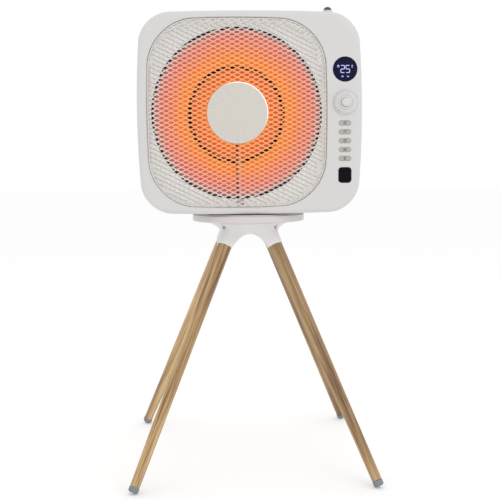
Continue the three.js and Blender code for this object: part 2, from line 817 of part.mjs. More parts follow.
function topButtonBody() {
  const radius = topButton.diameter / 2;
  const top = topHeight(topButtonAt[0]);
  const flangeTop = top - head.wall - topButton.play - topButton.travel;
  const low = flangeTop - topButton.flange;
  return turnedZ([
    [0, low],
    [radius + topButton.flange, low],
    [radius + topButton.flange, flangeTop],
    [radius, flangeTop],
    [radius, top + topButton.proud * 0.4],
    [radius * 0.85, top + topButton.proud * 0.75],
    [radius * 0.5, top + topButton.proud],
    [0, top + topButton.proud],
  ], sides.small, topButtonAt);
}

function casingPieces() {
  return groupOf(
    piece('front_bezel', finishes.casing, frontBezel()),
    piece('rear_casing', finishes.casing, rearCasing()),
    screwPlaces().map((at, i) => piece(`case_screw_${i + 1}`, finishes.steel, caseScrewBody(at))),
    piece('cord_gland', finishes.dark, glandBody()),
    piece('top_button', finishes.dark, topButtonBody()),
  );
}

// ---------- grille ----------

// Share of the way from the grille's centre to its edge.
function pillowShare(x, z) {
  const u = Math.abs(x - dishX) / (openingWidth / 2);
  const v = Math.abs(z - headZ) / (openingHeight / 2);
  return (u ** pillowPower + v ** pillowPower) ** (1 / pillowPower);
}

// How far the pillow stands forward of its edge.
function pillowRise(x, z) {
  return grille.crown * Math.sqrt(Math.max(0, 1 - pillowShare(x, z) ** 4));
}

function diamondHoles() {
  const { cellWidth, cellHeight, strand, boss } = grille;
  const halfWidth = cellWidth / 2 - strand;
  const halfHeight = cellHeight / 2 - (strand * cellHeight) / cellWidth;
  const reach = 2 * Math.ceil(openingHeight / cellHeight);
  const holes = [];
  for (let row = -reach; row <= reach; row += 1) {
    for (let column = -reach; column <= reach; column += 1) {
      const x = dishX + (column + (row % 2 ? 0.5 : 0)) * cellWidth;
      const z = headZ + (row * cellHeight) / 2;
      const corners = [[x + halfWidth, z], [x, z + halfHeight], [x - halfWidth, z], [x, z - halfHeight]];
      const clearOfBoss = Math.hypot(x - dishX, z - headZ) > boss / 2 + halfWidth / 2;
      if (clearOfBoss && corners.every(([a, b]) => pillowShare(a, b) < 0.94)) {
        holes.push(corners.map(([a, b]) => new THREE.Vector2(a, b)));
      }
    }
  }
  return holes;
}

// A diamond lattice bent into a shallow pillow, on a flange behind the bezel.
function frontGrille() {
  const lattice = slabY(openingOutline(-2 * gap), pillowEdgeY, pillowEdgeY + grille.sheet, diamondHoles());
  const places = lattice.attributes.position;
  for (let i = 0; i < places.count; i += 1) {
    places.setY(i, places.getY(i) - pillowRise(places.getX(i), places.getZ(i)));
  }
  const flangeY = innerFrontY + gap;
  const inner = openingOutline(-2 * grille.flange);
  const flange = slabY(openingOutline(grille.flange), flangeY, flangeY + grille.sheet, [inner]);
  const skirt = slabY(openingOutline(-2 * gap), pillowEdgeY - 1, flangeY + 1, [inner]);
  const hole = centreDisc.spigotDiameter + 2 * gap;
  const through = drumY(hole, frontY - 40, flangeY + 9, sides.fine, [dishX, headZ]);
  return cut(join(lattice, skirt, flange), through, ...postNotches());
}

// A flat disc with a rolled edge, held by a spigot and a nut behind the lattice.
function centreDiscBody() {
  const radius = centreDisc.diameter / 2;
  const spigot = centreDisc.spigotDiameter / 2;
  const rear = pillowApexY - centreDisc.standOff;
  const front = rear - centreDisc.thickness;
  return turnedY([
    [0, front],
    [radius - 1.2, front],
    [radius, front + 1.2],
    [radius, rear],
    [spigot, rear],
    [spigot, pillowApexY + grille.sheet + discNut.thickness + gap],
    [0, pillowApexY + grille.sheet + discNut.thickness + gap],
  ], sides.fine, [dishX, headZ]);
}

function discNutBody() {
  const front = pillowApexY + grille.sheet + gap;
  const middle = [dishX, headZ];
  const bore = circle(centreDisc.spigotDiameter / 2 + gap, middle, sides.fine);
  return slabY(circle(discNut.diameter / 2, middle, 6), front, front + discNut.thickness, [bore]);
}

function grillePieces() {
  return groupOf(
    piece('front_grille', finishes.grille, frontGrille()),
    piece('grille_disc', finishes.disc, centreDiscBody()),
    piece('grille_disc_nut', finishes.steel, discNutBody()),
  );
}

// ---------- heater ----------

const diagonals = [[1, 1], [-1, 1], [-1, -1], [1, -1]];

function bafflePlate() {
  const front = frontY + baffle.setback;
  const hole = circle(baffleHole / 2, [dishX, headZ], sides.fine);
  const plate = slabY(openingOutline(baffle.overlap), front, front + baffle.thickness, [hole]);
  const posts = diagonals.map(([sx, sz]) => {
    const at = [dishX + sx * bafflePostReach, headZ + sz * bafflePostReach];
    return drumY(baffle.post, front + 0.5, spiderY - gap, sides.small, at);
  });
  return cut(join(plate, ...posts), ...postNotches());
}

// A thin dished ring between two radii, rising forwards by a power of the radius.
function dishedRing(inner, outer, throatY, depth, power) {
  const steps = 2;
  const front = [];
  for (let i = 0; i <= steps; i += 1) {
    const t = i / steps;
    front.push([THREE.MathUtils.lerp(inner, outer, t) / 2, throatY - depth * t ** power]);
  }
  const rear = front.map(([r, y]) => [r, y + dish.thickness]).reverse();
  return turnedY([...front, ...rear, front[0]], sides.fine, [dishX, headZ]);
}

function slotBelow(from, to) {
  const half = dish.slotWidth / 2;
  return block([dishX - half, dishX + half], [frontY, spiderY], [headZ - to, headZ - from]);
}

const dishThroatY = dishRimY + dish.depth;
const coreThroatY = dishThroatY + 2;

function reflectorDish() {
  const ring = dishedRing(dish.throatDiameter, dish.diameter, dishThroatY, dish.depth, 1.25);
  return cut(ring, slotBelow(dish.throatDiameter / 2 + 3, dish.diameter / 2 - 4));
}

function reflectorCore() {
  const ring = dishedRing(core.holeDiameter, coreDiameter, coreThroatY, core.depth, 2);
  return cut(ring, slotBelow(core.holeDiameter / 2 + 20, coreDiameter / 2 - 3));
}

// A cross of two bars behind the dishes, with a round middle and a pad under each dish.
function dishSpider() {
  const rear = spiderY + spider.thickness;
  const reach = Math.SQRT2 * bafflePostReach + baffle.post / 2;
  const bars = [1, -1].map((side) => {
    const bar = block([-reach, reach], [spiderY, rear], [-spider.armWidth / 2, spider.armWidth / 2]);
    return bar.rotateY((side * Math.PI) / 4).translate(dishX, 0, headZ);
  });
  const middle = drumY(spider.hubDiameter, spiderY, rear, sides.round, [dishX, headZ]);
  const pad = ([sx, sz], radius, front) => {
    const at = [dishX + (sx * radius) / Math.SQRT2, headZ + (sz * radius) / Math.SQRT2];
    return drumY(spider.pad, front, spiderY + 1, sides.small, at);
  };
  const outerAt = dish.throatDiameter / 2 + spider.pad / 2 + 1;
  const coreAt = core.holeDiameter / 2 + spider.pad;
  const outerPads = diagonals.map((way) => pad(way, outerAt, dishThroatY + dish.thickness + gap));
  const corePads = diagonals.map((way) => pad(way, coreAt, coreThroatY + dish.thickness + gap));
  const feed = drumY(12, spiderY - 1, rear + 1, sides.small, [dishX, headZ]);
  return cut(join(...bars, middle, ...outerPads, ...corePads), feed);
}

// A ceramic bobbin on the spider, with a wider base and a front end for the stay's clip.
function heaterCore() {
  const back = spiderY - gap;
  const front = back - bobbin.length;
  const [body, end, base] = [bobbin.diameter / 2, bobbin.endDiameter / 2, bobbin.baseDiameter / 2];
  return turnedY([
    [0, front],
    [end, front],
    [end, front + bobbin.end],
    [body, front + bobbin.end],
    [body, back - bobbin.base],
    [base, back - bobbin.base],
    [base, back],
    [0, back],
  ], sides.round, [dishX, headZ]);
}

class HelixY extends THREE.Curve {
  constructor(radius, turns, from, length) {
    super();
    Object.assign(this, { radius, turns, from, length });
  }

  getPoint(t, target = new THREE.Vector3()) {
    const angle = 2 * Math.PI * this.turns * t;
    const x = this.radius * Math.cos(angle);
    const z = this.radius * Math.sin(angle);
    return target.set(x, this.from + this.length * t, z);
  }
}

function heatingCoil() {
  const middle = spiderY - gap - (bobbin.base + bobbin.length - bobbin.end) / 2;
  const radius = (bobbin.diameter + coil.wire) / 2 + coil.standOff;
  const path = new HelixY(radius, coil.turns, middle - coil.length / 2, coil.length);
  const section = shapeOf(circle(coil.wire / 2, [0, 0], 5));
  const wire = new THREE.ExtrudeGeometry(section, { steps: 12 * coil.turns, extrudePath: path });
  return wire.translate(dishX, 0, headZ);
}

// A clip round the bobbin's front end on a rod that runs down to the baffle.
function elementStay() {
  const front = spiderY - gap - bobbin.length;
  const inner = bobbin.endDiameter + 2 * gap;
  const outer = inner + 2 * stay.clip;
  const middleY = front + stay.rodDiameter / 2;
  const x = dishX + stay.offset;
  const baffleFront = frontY + baffle.setback;
  const end = headZ - baffleHole / 2 - stay.foot;
  const rodTop = headZ - inner / 2 - 1;
  const rod = drumZ(stay.rodDiameter, end + 1, rodTop, sides.small, [x, middleY]);
  const foot = [end, end + stay.foot - 2];
  return join(
    ringY(inner, outer, front, front + stay.clip, sides.round, [dishX, headZ]),
    rod,
    block([x - stay.foot / 2, x + stay.foot / 2], [front, baffleFront - gap], foot),
  );
}

function thermalCutout() {
  const rear = spiderY + spider.thickness + gap;
  const at = [dishX + cutout.reach, headZ + cutout.reach];
  return drumY(cutout.diameter, rear, rear + cutout.height, sides.small, at);
}

function heaterPieces() {
  return groupOf(
    piece('baffle_plate', finishes.casing, bafflePlate()),
    piece('reflector_dish', finishes.glow, reflectorDish()),
    piece('reflector_core', finishes.glow, reflectorCore()),
    piece('dish_spider', finishes.steel, dishSpider()),
    piece('heater_core', finishes.ceramic, heaterCore()),
    piece('heating_coil', finishes.hot, heatingCoil()),
    piece('element_stay', finishes.steel, elementStay()),
    piece('thermal_cutout', finishes.dark, thermalCutout()),
  );
}

// ---------- fan ----------

const fanY = bracketY - slip - motorBracket.toFan - fan.hubLength / 2;

// One flat blade, wider towards its tip, pitched about its own radius.
function fanBladeAt(k) {
  const root = fan.hubDiameter / 2 - 3;
  const tip = fan.diameter / 2;
  const outline = [[root, -14], [tip - 8, -30], [tip - 1, -6], [tip - 1, 14], [tip - 14, 28], [root, 12]];
  const points = outline.map(([r, w]) => new THREE.Vector2(r, w));
  const blade = new THREE.ExtrudeGeometry(shapeOf(points), { depth: fan.blade, bevelEnabled: false });
  blade.translate(0, 0, -fan.blade / 2).rotateX(Math.PI / 2 - fan.pitch);
  return blade.rotateY((2 * Math.PI * k) / fan.blades).translate(dishX, fanY, headZ);
}

function fanBlade() {
  const half = fan.hubLength / 2;
  const middle = [dishX, headZ];
  const hubDrum = drumY(fan.hubDiameter, fanY - half, fanY + half, sides.round, middle);
  const blades = Array.from({ length: fan.blades }, (_, k) => fanBladeAt(k));
  const bore = drumY(fanShaft.diameter + 2 * gap, fanY - half - 1, fanY + half + 1, sides.small, middle);
  return cut(join(hubDrum, ...blades), bore);
}

function fanShaftBody() {
  const front = fanY - fan.hubLength / 2;
  return drumY(fanShaft.diameter, front, front + fanShaft.length, sides.small, [dishX, headZ]);
}

function fanMotorBody() {
  const front = bracketY + motorBracket.thickness + gap;
  const middle = [dishX, headZ];
  const radius = fanMotor.diameter / 2;
  const can = turnedY([
    [0, front],
    [radius, front],
    [radius, front + fanMotor.length - 6],
    [radius - 8, front + fanMotor.length],
    [0, front + fanMotor.length],
  ], sides.round, middle);
  const shaftEnd = fanY - fan.hubLength / 2 + fanShaft.length;
  return cut(can, drumY(fanShaft.diameter + 2 * slip, front - 1, shaftEnd + 1, sides.small, middle));
}

function motorBracketBody() {
  const rear = bracketY + motorBracket.thickness;
  const half = motorBracket.width / 2;
  const reach = motorBracket.reach + motorBracket.boss / 2;
  const bar = block([dishX - half, dishX + half], [bracketY, rear], [headZ - reach, headZ + reach]);
  const bossDiameter = fanMotor.diameter + motorBracket.bossMargin;
  const middle = drumY(bossDiameter, bracketY, rear, sides.round, [dishX, headZ]);
  const holeDiameter = fanShaft.diameter + motorBracket.holeMargin;
  const hole = drumY(holeDiameter, bracketY - 1, rear + 1, sides.small, [dishX, headZ]);
  return cut(join(bar, middle), hole);
}

function fanPieces() {
  return groupOf(
    piece('fan_blade', finishes.dark, fanBlade()),
    piece('fan_shaft', finishes.steel, fanShaftBody()),
    piece('fan_motor', finishes.steel, fanMotorBody()),
    piece('motor_bracket', finishes.steel, motorBracketBody()),
  );
}

// ---------- controls ----------

function pillHeights() {
  return Array.from({ length: pill.count }, (_, i) => firstKeyZ - i * pill.pitch);
}

const pillRearY = innerFrontY + gap + 2;

// A printed board with one small switch behind each pill button.
function controlBoard() {
  const half = board.width / 2;
  const low = sensorAt[1] - board.below;
  const high = displayAt[1] + board.above;
  const plate = block([controlX - half, controlX + half], [boardY, boardY + board.thickness], [low, high]);
  const size = board.switchSize / 2;
  const switches = pillHeights().map((z) => {
    const deep = [pillRearY + pillTravel + gap, boardY + 0.5];
    return block([controlX - size, controlX + size], deep, [z - size, z + size]);
  });
  return join(plate, ...switches);
}

function displayModule() {
  const front = frontY - display.proud + display.lens + gap;
  return drumY(display.moduleDiameter, front, boardY - gap, sides.round, displayAt);
}

function displayLens() {
  const front = frontY - display.proud;
  const radius = display.diameter / 2;
  return turnedY([
    [0, front],
    [radius - 0.8, front],
    [radius, front + 0.8],
    [radius, front + display.lens],
    [0, front + display.lens],
  ], sides.round, displayAt);
}

// A domed ring that turns, with a neck through the bezel.
function dialKnob() {
  const bore = centreButton.diameter / 2 + slip;
  const rear = frontY - slip;
  const front = rear - dial.proud;
  const radius = dial.diameter / 2;
  const neck = dial.neckDiameter / 2;
  return turnedY([
    [bore, front],
    [dial.crownDiameter / 2, front],
    [radius - 1, rear - dial.rim],
    [radius, rear - dial.rim + 1],
    [radius, rear],
    [neck, rear],
    [neck, rear + dial.neckLength],
    [bore, rear + dial.neckLength],
    [bore, front],
  ], sides.round, dialAt);
}

function powerButton() {
  const front = frontY - centreButton.proud;
  const radius = centreButton.diameter / 2;
  const rear = frontY + centreButton.tail;
  return turnedY([
    [0, front],
    [radius - 1.5, front],
    [radius, front + 1.5],
    [radius, rear],
    [0, rear],
  ], sides.round, dialAt);
}

function encoderBody() {
  const half = encoder.size / 2;
  const [x, z] = dialAt;
  const rear = boardY - gap;
  return block([x - half, x + half], [rear - encoder.thickness, rear], [z - half, z + half]);
}

// A pill-shaped key with a thin flange behind the bezel.
function pillButton(z) {
  const outline = (grow) => roundedRectangle(pill.width, pill.height, pill.height / 2, grow, [controlX, z]);
  const flangeFront = innerFrontY + gap;
  return join(
    slabY(outline(0), frontY - pill.proud, flangeFront + 1),
    slabY(outline(pill.flange), flangeFront, pillRearY),
  );
}

function sensorWindow() {
  const front = frontY - sensor.proud;
  const outline = roundedRectangle(sensor.width, sensor.height, sensor.corner, 0, sensorAt);
  return slabY(outline, front, front + sensor.thickness);
}

function powerBoardBody() {
  const x = headWidth / 2 - powerBoard.inset;
  const low = headBottom + powerBoard.lift;
  const half = powerBoard.depth / 2;
  const plate = block([x, x + powerBoard.thickness], [-half, half], [low, low + powerBoard.height]);
  const relay = block([x - powerBoard.blocks, x + 0.5], [-half + 8, -half + 30], [low + 12, low + 40]);
  const choke = block([x - powerBoard.blocks, x + 0.5], [half - 38, half - 10], [low + 60, low + 92]);
  return join(plate, relay, choke);
}

function controlPieces() {
  const keys = pillHeights().map((z, i) => piece(`mode_button_${i + 1}`, finishes.button, pillButton(z)));
  return groupOf(
    piece('control_board', finishes.board, controlBoard()),
    piece('display_module', finishes.black, displayModule()),
    piece('display_lens', finishes.display, displayLens()),
    piece('dial_knob', finishes.casing, dialKnob()),
    piece('power_button', finishes.casing, powerButton()),
    piece('dial_encoder', finishes.dark, encoderBody()),
    keys,
    piece('sensor_window', finishes.black, sensorWindow()),
    piece('power_board', finishes.board, powerBoardBody()),
  );
}

// ---------- the whole heater ----------

const group = groupOf(
  standPieces(),
  drivePieces(),
  casingPieces(),
  grillePieces(),
  heaterPieces(),
  fanPieces(),
  controlPieces(),
);

export default group;
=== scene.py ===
import json

import bmesh
import bpy
import numpy as np
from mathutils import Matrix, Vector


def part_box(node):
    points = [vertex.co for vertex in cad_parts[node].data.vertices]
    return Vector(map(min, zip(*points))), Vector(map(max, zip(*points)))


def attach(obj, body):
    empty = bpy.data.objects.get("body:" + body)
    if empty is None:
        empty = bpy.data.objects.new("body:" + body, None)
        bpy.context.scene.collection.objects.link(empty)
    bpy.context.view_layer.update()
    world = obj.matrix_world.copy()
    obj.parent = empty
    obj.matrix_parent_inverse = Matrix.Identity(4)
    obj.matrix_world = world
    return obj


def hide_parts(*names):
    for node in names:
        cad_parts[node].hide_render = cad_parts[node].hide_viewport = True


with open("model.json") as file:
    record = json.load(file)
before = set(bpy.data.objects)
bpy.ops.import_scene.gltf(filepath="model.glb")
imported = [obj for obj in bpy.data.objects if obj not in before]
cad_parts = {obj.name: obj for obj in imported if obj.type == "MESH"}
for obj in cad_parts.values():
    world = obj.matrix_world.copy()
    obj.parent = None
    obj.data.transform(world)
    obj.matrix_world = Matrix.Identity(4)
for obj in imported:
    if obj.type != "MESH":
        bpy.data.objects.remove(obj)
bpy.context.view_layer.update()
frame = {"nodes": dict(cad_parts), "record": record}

# The scene is in metres, +Z up, with the mesh front towards -Y. Sizes in the dictionaries are millimetres.
mm = 0.001
sliver = 0.0005  # edges shorter than this are dropped


def say(stage):
    print("stage:", stage)


def low(node):  # least x, y and z of a node's box
    return np.array(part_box(node)[0]) / mm


def high(node):  # greatest x, y and z of a node's box
    return np.array(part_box(node)[1]) / mm


def middle(node):
    return (low(node) + high(node)) / 2


def span(node, axis):  # how long a node's box is along one axis
    return float(high(node)[axis] - low(node)[axis])


def srgb(red, green, blue):
    # display values 0 to 255 as linear light: v / 12.92 when dark, else ((v + 0.055) / 1.055) ^ 2.4
    value = np.array([red, green, blue]) / 255
    return tuple(np.where(value < 0.04045, value / 12.92, ((value + 0.055) / 1.055) ** 2.4))


class Link:  # a socket that can be used in sums
    def __init__(self, finish, socket):
        self.finish = finish
        self.socket = socket

    def math(self, operation, *others):  # one Math node on this value and the others
        return self.finish.node("Math", {"operation": operation}, dict(enumerate([self, *others])))

    def __add__(self, other):
        return self.math("ADD", other)

    def __radd__(self, other):
        return self.math("ADD", other)

    def __sub__(self, other):
        return self.math("SUBTRACT", other)

    def __rsub__(self, other):
        return self.finish.node("Math", {"operation": "SUBTRACT"}, {0: other, 1: self})

    def __mul__(self, other):
        return self.math("MULTIPLY", other)

    def __rmul__(self, other):
        return self.math("MULTIPLY", other)

    def __truediv__(self, other):
        return self.math("DIVIDE", other)

    def band(self, start, end):  # 0 before start, 1 after end, smooth between
        settings = {"interpolation_type": "SMOOTHSTEP"}
        return self.finish.node("MapRange", settings, {0: self, 1: start, 2: end, 3: 0.0, 4: 1.0})


class Finish:  # one material round one Principled shader
    def __init__(self, name, color, roughness=0.5, **sockets):
        self.material = bpy.data.materials.new(name)
        self.material.use_nodes = True
        self.tree = self.material.node_tree
        self.shader = self.tree.nodes["Principled BSDF"]
        self.material.diffuse_color = (*color, 1.0)
        self.set("Base Color", color)
        self.set("Roughness", roughness)
        for socket, value in sockets.items():
            self.set(socket.replace("_", " "), value)

    def set(self, socket, value):  # one socket of the shader
        self.feed(self.shader.inputs[socket], value)
        return self

    def lit(self, color, strength=1.0):  # light of its own, in linear colour
        return self.set("Emission Color", color).set("Emission Strength", strength)

    def feed(self, socket, value):  # a link, a colour or a plain value
        if isinstance(value, Link):
            self.tree.links.new(value.socket, socket)
        elif isinstance(value, (tuple, list, np.ndarray)) and socket.type == "RGBA":
            socket.default_value = (*[float(v) for v in value], 1.0)[:4]
        else:
            socket.default_value = value

    def node(self, kind, settings=None, inputs=None, output=0):
        # a new node: its settings or ramp stops come first, then its sockets
        made = self.tree.nodes.new("ShaderNode" + kind)
        for name, value in (settings or {}).items():
            if name == "stops":
                ramp = made.color_ramp
                while len(ramp.elements) < len(value):
                    ramp.elements.new(0.5)
                for element, (place, color) in zip(ramp.elements, value):
                    element.position = place
                    element.color = (*color, 1.0)
            else:
                setattr(made, name, value)
        for name, value in (inputs or {}).items():
            self.feed(made.inputs[name], value)
        return Link(self, made.outputs[output])

    def place(self):  # where a point is, in metres
        return self.node("TexCoord", output="Object")

    def own(self, name):  # a vector kept on the piece
        return self.node("Attribute", {"attribute_name": name}, output="Vector")

    def mapped(self, vector, scale=(1, 1, 1), shift=(0, 0, 0), turn=(0, 0, 0)):
        # vector * scale, turned, then shifted
        inputs = {"Vector": vector, "Scale": scale, "Location": shift, "Rotation": turn}
        return self.node("Mapping", None, inputs)

    def noise(self, vector, scale, detail=3.0, roughness=0.55):
        inputs = {"Vector": vector, "Scale": scale, "Detail": detail, "Roughness": roughness}
        return self.node("TexNoise", None, inputs)

    def mix(self, share, first, second):  # first * (1 - share) + second * share
        settings = {"data_type": "RGBA"}
        return self.node("Mix", settings, {0: share, 6: first, 7: second}, output=2)

    def ramp(self, share, stops):  # the colour at a share from 0 to 1
        return self.node("ValToRGB", {"stops": stops}, {0: share})

    def bump(self, height, strength, distance):  # relief, its depth in millimetres
        inputs = {"Height": height, "Strength": strength, "Distance": distance * mm}
        self.set("Normal", self.node("Bump", None, inputs))
        return self

    def fromAxis(self, centre):  # distance from a line along Y, in millimetres
        shift = tuple(float(-v) * mm for v in (centre[0], 0, centre[2]))
        flat = self.mapped(self.mapped(self.place(), shift=shift), scale=(1 / mm, 0, 1 / mm))
        return self.node("VectorMath", {"operation": "LENGTH"}, {0: flat}, output="Value")


def newPiece(name, points, faces, body, finish, replaces=()):
    # points in millimetres as a mesh that rides on a body and wears a finish
    mesh = bpy.data.meshes.new(name)
    mesh.from_pydata((np.asarray(points, dtype=float) * mm).tolist(), [], faces)
    mesh.update()
    piece = bpy.data.objects.new(name, mesh)
    bpy.context.scene.collection.objects.link(piece)
    if body:
        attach(piece, body)
    if replaces:
        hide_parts(*replaces)
    if finish:
        mesh.materials.append(finish.material)
    return piece


def weld(piece, distance=0.002, outward=True):
    # joins points nearer than the distance, drops flat faces and turns the rest outwards
    shape = bmesh.new()
    shape.from_mesh(piece.data)
    bmesh.ops.remove_doubles(shape, verts=shape.verts, dist=distance * mm)
    bmesh.ops.dissolve_degenerate(shape, edges=shape.edges, dist=sliver * mm)
    if outward:
        bmesh.ops.recalc_face_normals(shape, faces=shape.faces)
    shape.to_mesh(piece.data)
    shape.free()
    return piece


def smooth(piece, angle=32):  # smooth, but sharp where faces meet at more than the angle
    mesh = piece.data
    mesh.polygons.foreach_set("use_smooth", np.ones(len(mesh.polygons), dtype=bool))
    mesh.set_sharp_from_angle(angle=np.radians(angle))
    mesh.update()
    return piece


def finishWith(piece, kind, **settings):  # adds a modifier and bakes it into the mesh
    modifier = piece.modifiers.new(kind.lower(), kind)
    for name, value in settings.items():
        setattr(modifier, name, value)
    graph = bpy.context.evaluated_depsgraph_get()
    graph.update()
    baked = bpy.data.meshes.new_from_object(piece.evaluated_get(graph), depsgraph=graph)
    piece.modifiers.clear()
    old = piece.data
    piece.data = baked
    baked.name = old.name
    return piece


def cutWith(piece, *cutters):  # takes every cutter out of the piece
    for cutter in cutters:
        finishWith(piece, "BOOLEAN", operation="DIFFERENCE", solver="EXACT", object=cutter)
    for cutter in cutters:
        bpy.data.objects.remove(cutter)
    return piece


def gridFaces(rows, columns, wrap=True):
    # quads between neighbouring rows; the last column meets the first when wrapped
    row = np.arange(rows - 1)[:, None]
    column = np.arange(columns if wrap else columns - 1)[None, :]
    nextColumn = (column + 1) % columns
    corners = [row * columns + column, row * columns + nextColumn]
    corners += [(row + 1) * columns + nextColumn, (row + 1) * columns + column]
    return np.stack([c.ravel() for c in np.broadcast_arrays(*corners)], axis=1).tolist()


def gridPiece(name, grid, body, finish, replaces=(), caps=()):
    # grid is rows x columns x 3; caps name the rows closed with one face
    rows, columns, _ = grid.shape
    faces = gridFaces(rows, columns)
    for cap in caps:
        start = (rows - 1) * columns if cap == "end" else 0
        faces.append(list(range(start, start + columns)))
    piece = newPiece(name, grid.reshape(-1, 3), faces, body, finish, replaces)
    return smooth(weld(piece))


def turned(profile, count, centre=(0, 0, 0), axis="Z"):
    # radius and height carried round the axis: (r cos a, r sin a, h)
    profile = np.array(profile, dtype=float)
    angle = np.linspace(0, 2 * np.pi, count, endpoint=False)
    around = profile[:, :1] * np.cos(angle), profile[:, :1] * np.sin(angle)
    along = np.broadcast_to(profile[:, 1:], around[0].shape)
    parts = [around[0], around[1], along] if axis == "Z" else [around[0], along, around[1]]
    return np.stack(parts, axis=2) + np.array(centre)


def arc(centre, radius, start, end, steps):
    # points of a circular arc in profile space, angles in degrees
    angle = np.radians(np.linspace(start, end, steps))
    points = np.stack([np.cos(angle), np.sin(angle)], axis=1) * radius + np.array(centre)
    return [tuple(p) for p in points]


def bowedOutline(size, grow, arcSteps, sideSteps):
    # rounded rectangle whose sides bow out: x (1 + bow/half (1 - (z/halfHeight)^2)), z the same
    halfX = size["width"] / 2 - size["bowX"] + grow
    halfZ = size["height"] / 2 - size["bowZ"] + grow
    radius = size["corner"] + grow
    quarter = np.arange(4)[:, None]
    angle = (quarter + np.linspace(0, 1, arcSteps + 1)) * np.pi / 2
    signX = np.array([1, -1, -1, 1])[:, None]
    signZ = np.array([1, 1, -1, -1])[:, None]
    x = signX * (halfX - radius) + radius * np.cos(angle)
    z = signZ * (halfZ - radius) + radius * np.sin(angle)
    arcs = np.stack([x, z], axis=2)
    share = np.linspace(0, 1, sideSteps + 1)[1:-1, None]
    ends = np.roll(arcs[:, 0], -1, axis=0)[:, None]
    sides = arcs[:, -1:] + share * (ends - arcs[:, -1:])
    points = np.concatenate([arcs, sides], axis=1).reshape(-1, 2)
    bowed = np.empty_like(points)
    bowed[:, 0] = points[:, 0] * (1 + size["bowX"] / halfX * (1 - (points[:, 1] / halfZ) ** 2))
    bowed[:, 1] = points[:, 1] * (1 + size["bowZ"] / halfZ * (1 - (points[:, 0] / halfX) ** 2))
    return bowed


def ringAt(outline, centre, y):  # (outline x + centre x, y, outline z + centre z)
    x = outline[:, 0] + centre[0]
    return np.stack([x, np.full(len(outline), float(y)), outline[:, 1] + centre[2]], axis=1)


def rectangle(width, height, corner):  # an outline whose sides are straight
    return {"width": width, "height": height, "corner": corner, "bowX": 0.0, "bowZ": 0.0}


def cutter(rings):  # a closed tool from matching rings
    grid = np.stack(rings)
    return gridPiece("tool", grid, None, None, caps=("start", "end"))


def ribbon(lines, width, y, depth=0.12):
    # flat strokes: each line's points pushed half the width to both sides
    points, faces = [], []
    for line in lines:
        path = np.array(line, dtype=float)
        closed = np.allclose(path[0], path[-1])
        step = np.gradient(path, axis=0)
        if closed:
            step[0] = step[-1] = path[1] - path[-2]
        side = np.stack([-step[:, 1], step[:, 0]], axis=1)
        side /= np.linalg.norm(side, axis=1)[:, None] + 1e-9
        half = width / 2
        corners = [(path + side * half, y - depth), (path - side * half, y - depth)]
        corners += [(path - side * half, y), (path + side * half, y)]
        sides = [np.stack([p[:, 0], np.full(len(p), h), p[:, 1]], axis=1) for p, h in corners]
        grid = np.stack(sides, axis=1)
        start = len(points)
        count = len(path)
        strip = np.array(gridFaces(count, 4)) + start
        faces += strip.tolist()
        if not closed:
            faces += [[start, start + 1, start + 2, start + 3]]
            end = start + 4 * (count - 1)
            faces += [[end + 3, end + 2, end + 1, end]]
        points += grid.reshape(-1, 3).tolist()
    return points, faces


# the outlines of the head and of its mesh opening, and where the main faces stand
head = {"corner": 47.0, "bowX": 8.0, "bowZ": 4.0}
head |= {"width": span("front_bezel", 0), "height": span("front_bezel", 2)}
headMiddle = middle("front_bezel")
frontY = float(low("front_bezel")[1])
splitY = float(high("front_bezel")[1])
backY = float(high("rear_casing")[1])
dishMiddle = middle("reflector_dish")
dishRadius = span("reflector_dish", 0) / 2
opening = {"width": 2 * dishRadius + 22.0, "height": 2 * dishRadius + 35.0}
opening |= {"corner": 70.0, "bowX": 6.0, "bowZ": 6.0}
keys = ["mode_button_%d" % (i + 1) for i in range(5)]
legs = ["front_right", "rear_right", "rear_left", "front_left"]
discRadius = span("grille_disc", 0) / 2
disc = {"round": 2.3, "bore": 4.0, "sheet": 2.6, "bevelStart": discRadius - 2.1}


def moulded(name, color, roughness=0.42, grain=0.06, speck=1400.0):
    # satin plastic: faint clouding, a fine spark-eroded texture and softer worn patches
    finish = Finish(name, color, roughness, Specular_IOR_Level=0.45)
    cloud = finish.noise(finish.place(), 9.0, 2.0)
    darker = tuple(v * 0.955 for v in color)
    finish.set("Base Color", finish.mix(cloud, darker, tuple(min(1.0, v * 1.03) for v in color)))
    finish.set("Roughness", cloud * 0.12 + (roughness - 0.06))
    return finish.bump(finish.noise(finish.place(), speck, 2.0), grain, 0.06)


def brushed(name, color, roughness=0.34, scale=(700.0, 30.0, 30.0)):
    # plated steel: long fine scratches and a cloudy plating
    finish = Finish(name, color, roughness, Metallic=1.0)
    scratch = finish.noise(finish.mapped(finish.place(), scale), 1.0, 4.0)
    cloud = finish.noise(finish.place(), 40.0)
    finish.set("Base Color", finish.mix(cloud, tuple(v * 0.86 for v in color), color))
    finish.set("Roughness", scratch * 0.22 + (roughness - 0.1))
    return finish.bump(scratch, 0.15, 0.05)


tints = {
    "casing": srgb(208, 206, 205),
    "stand": srgb(222, 220, 220),
    "grille": srgb(208, 206, 201),
    "baffle": srgb(226, 224, 220),
    "key": srgb(172, 168, 162),
    "dark": srgb(70, 70, 73),
    "rubber": srgb(128, 132, 138),
    "nylon": srgb(124, 104, 100),
}


glowReach = 137.5  # how far from the dish's axis the ramps of the glow reach


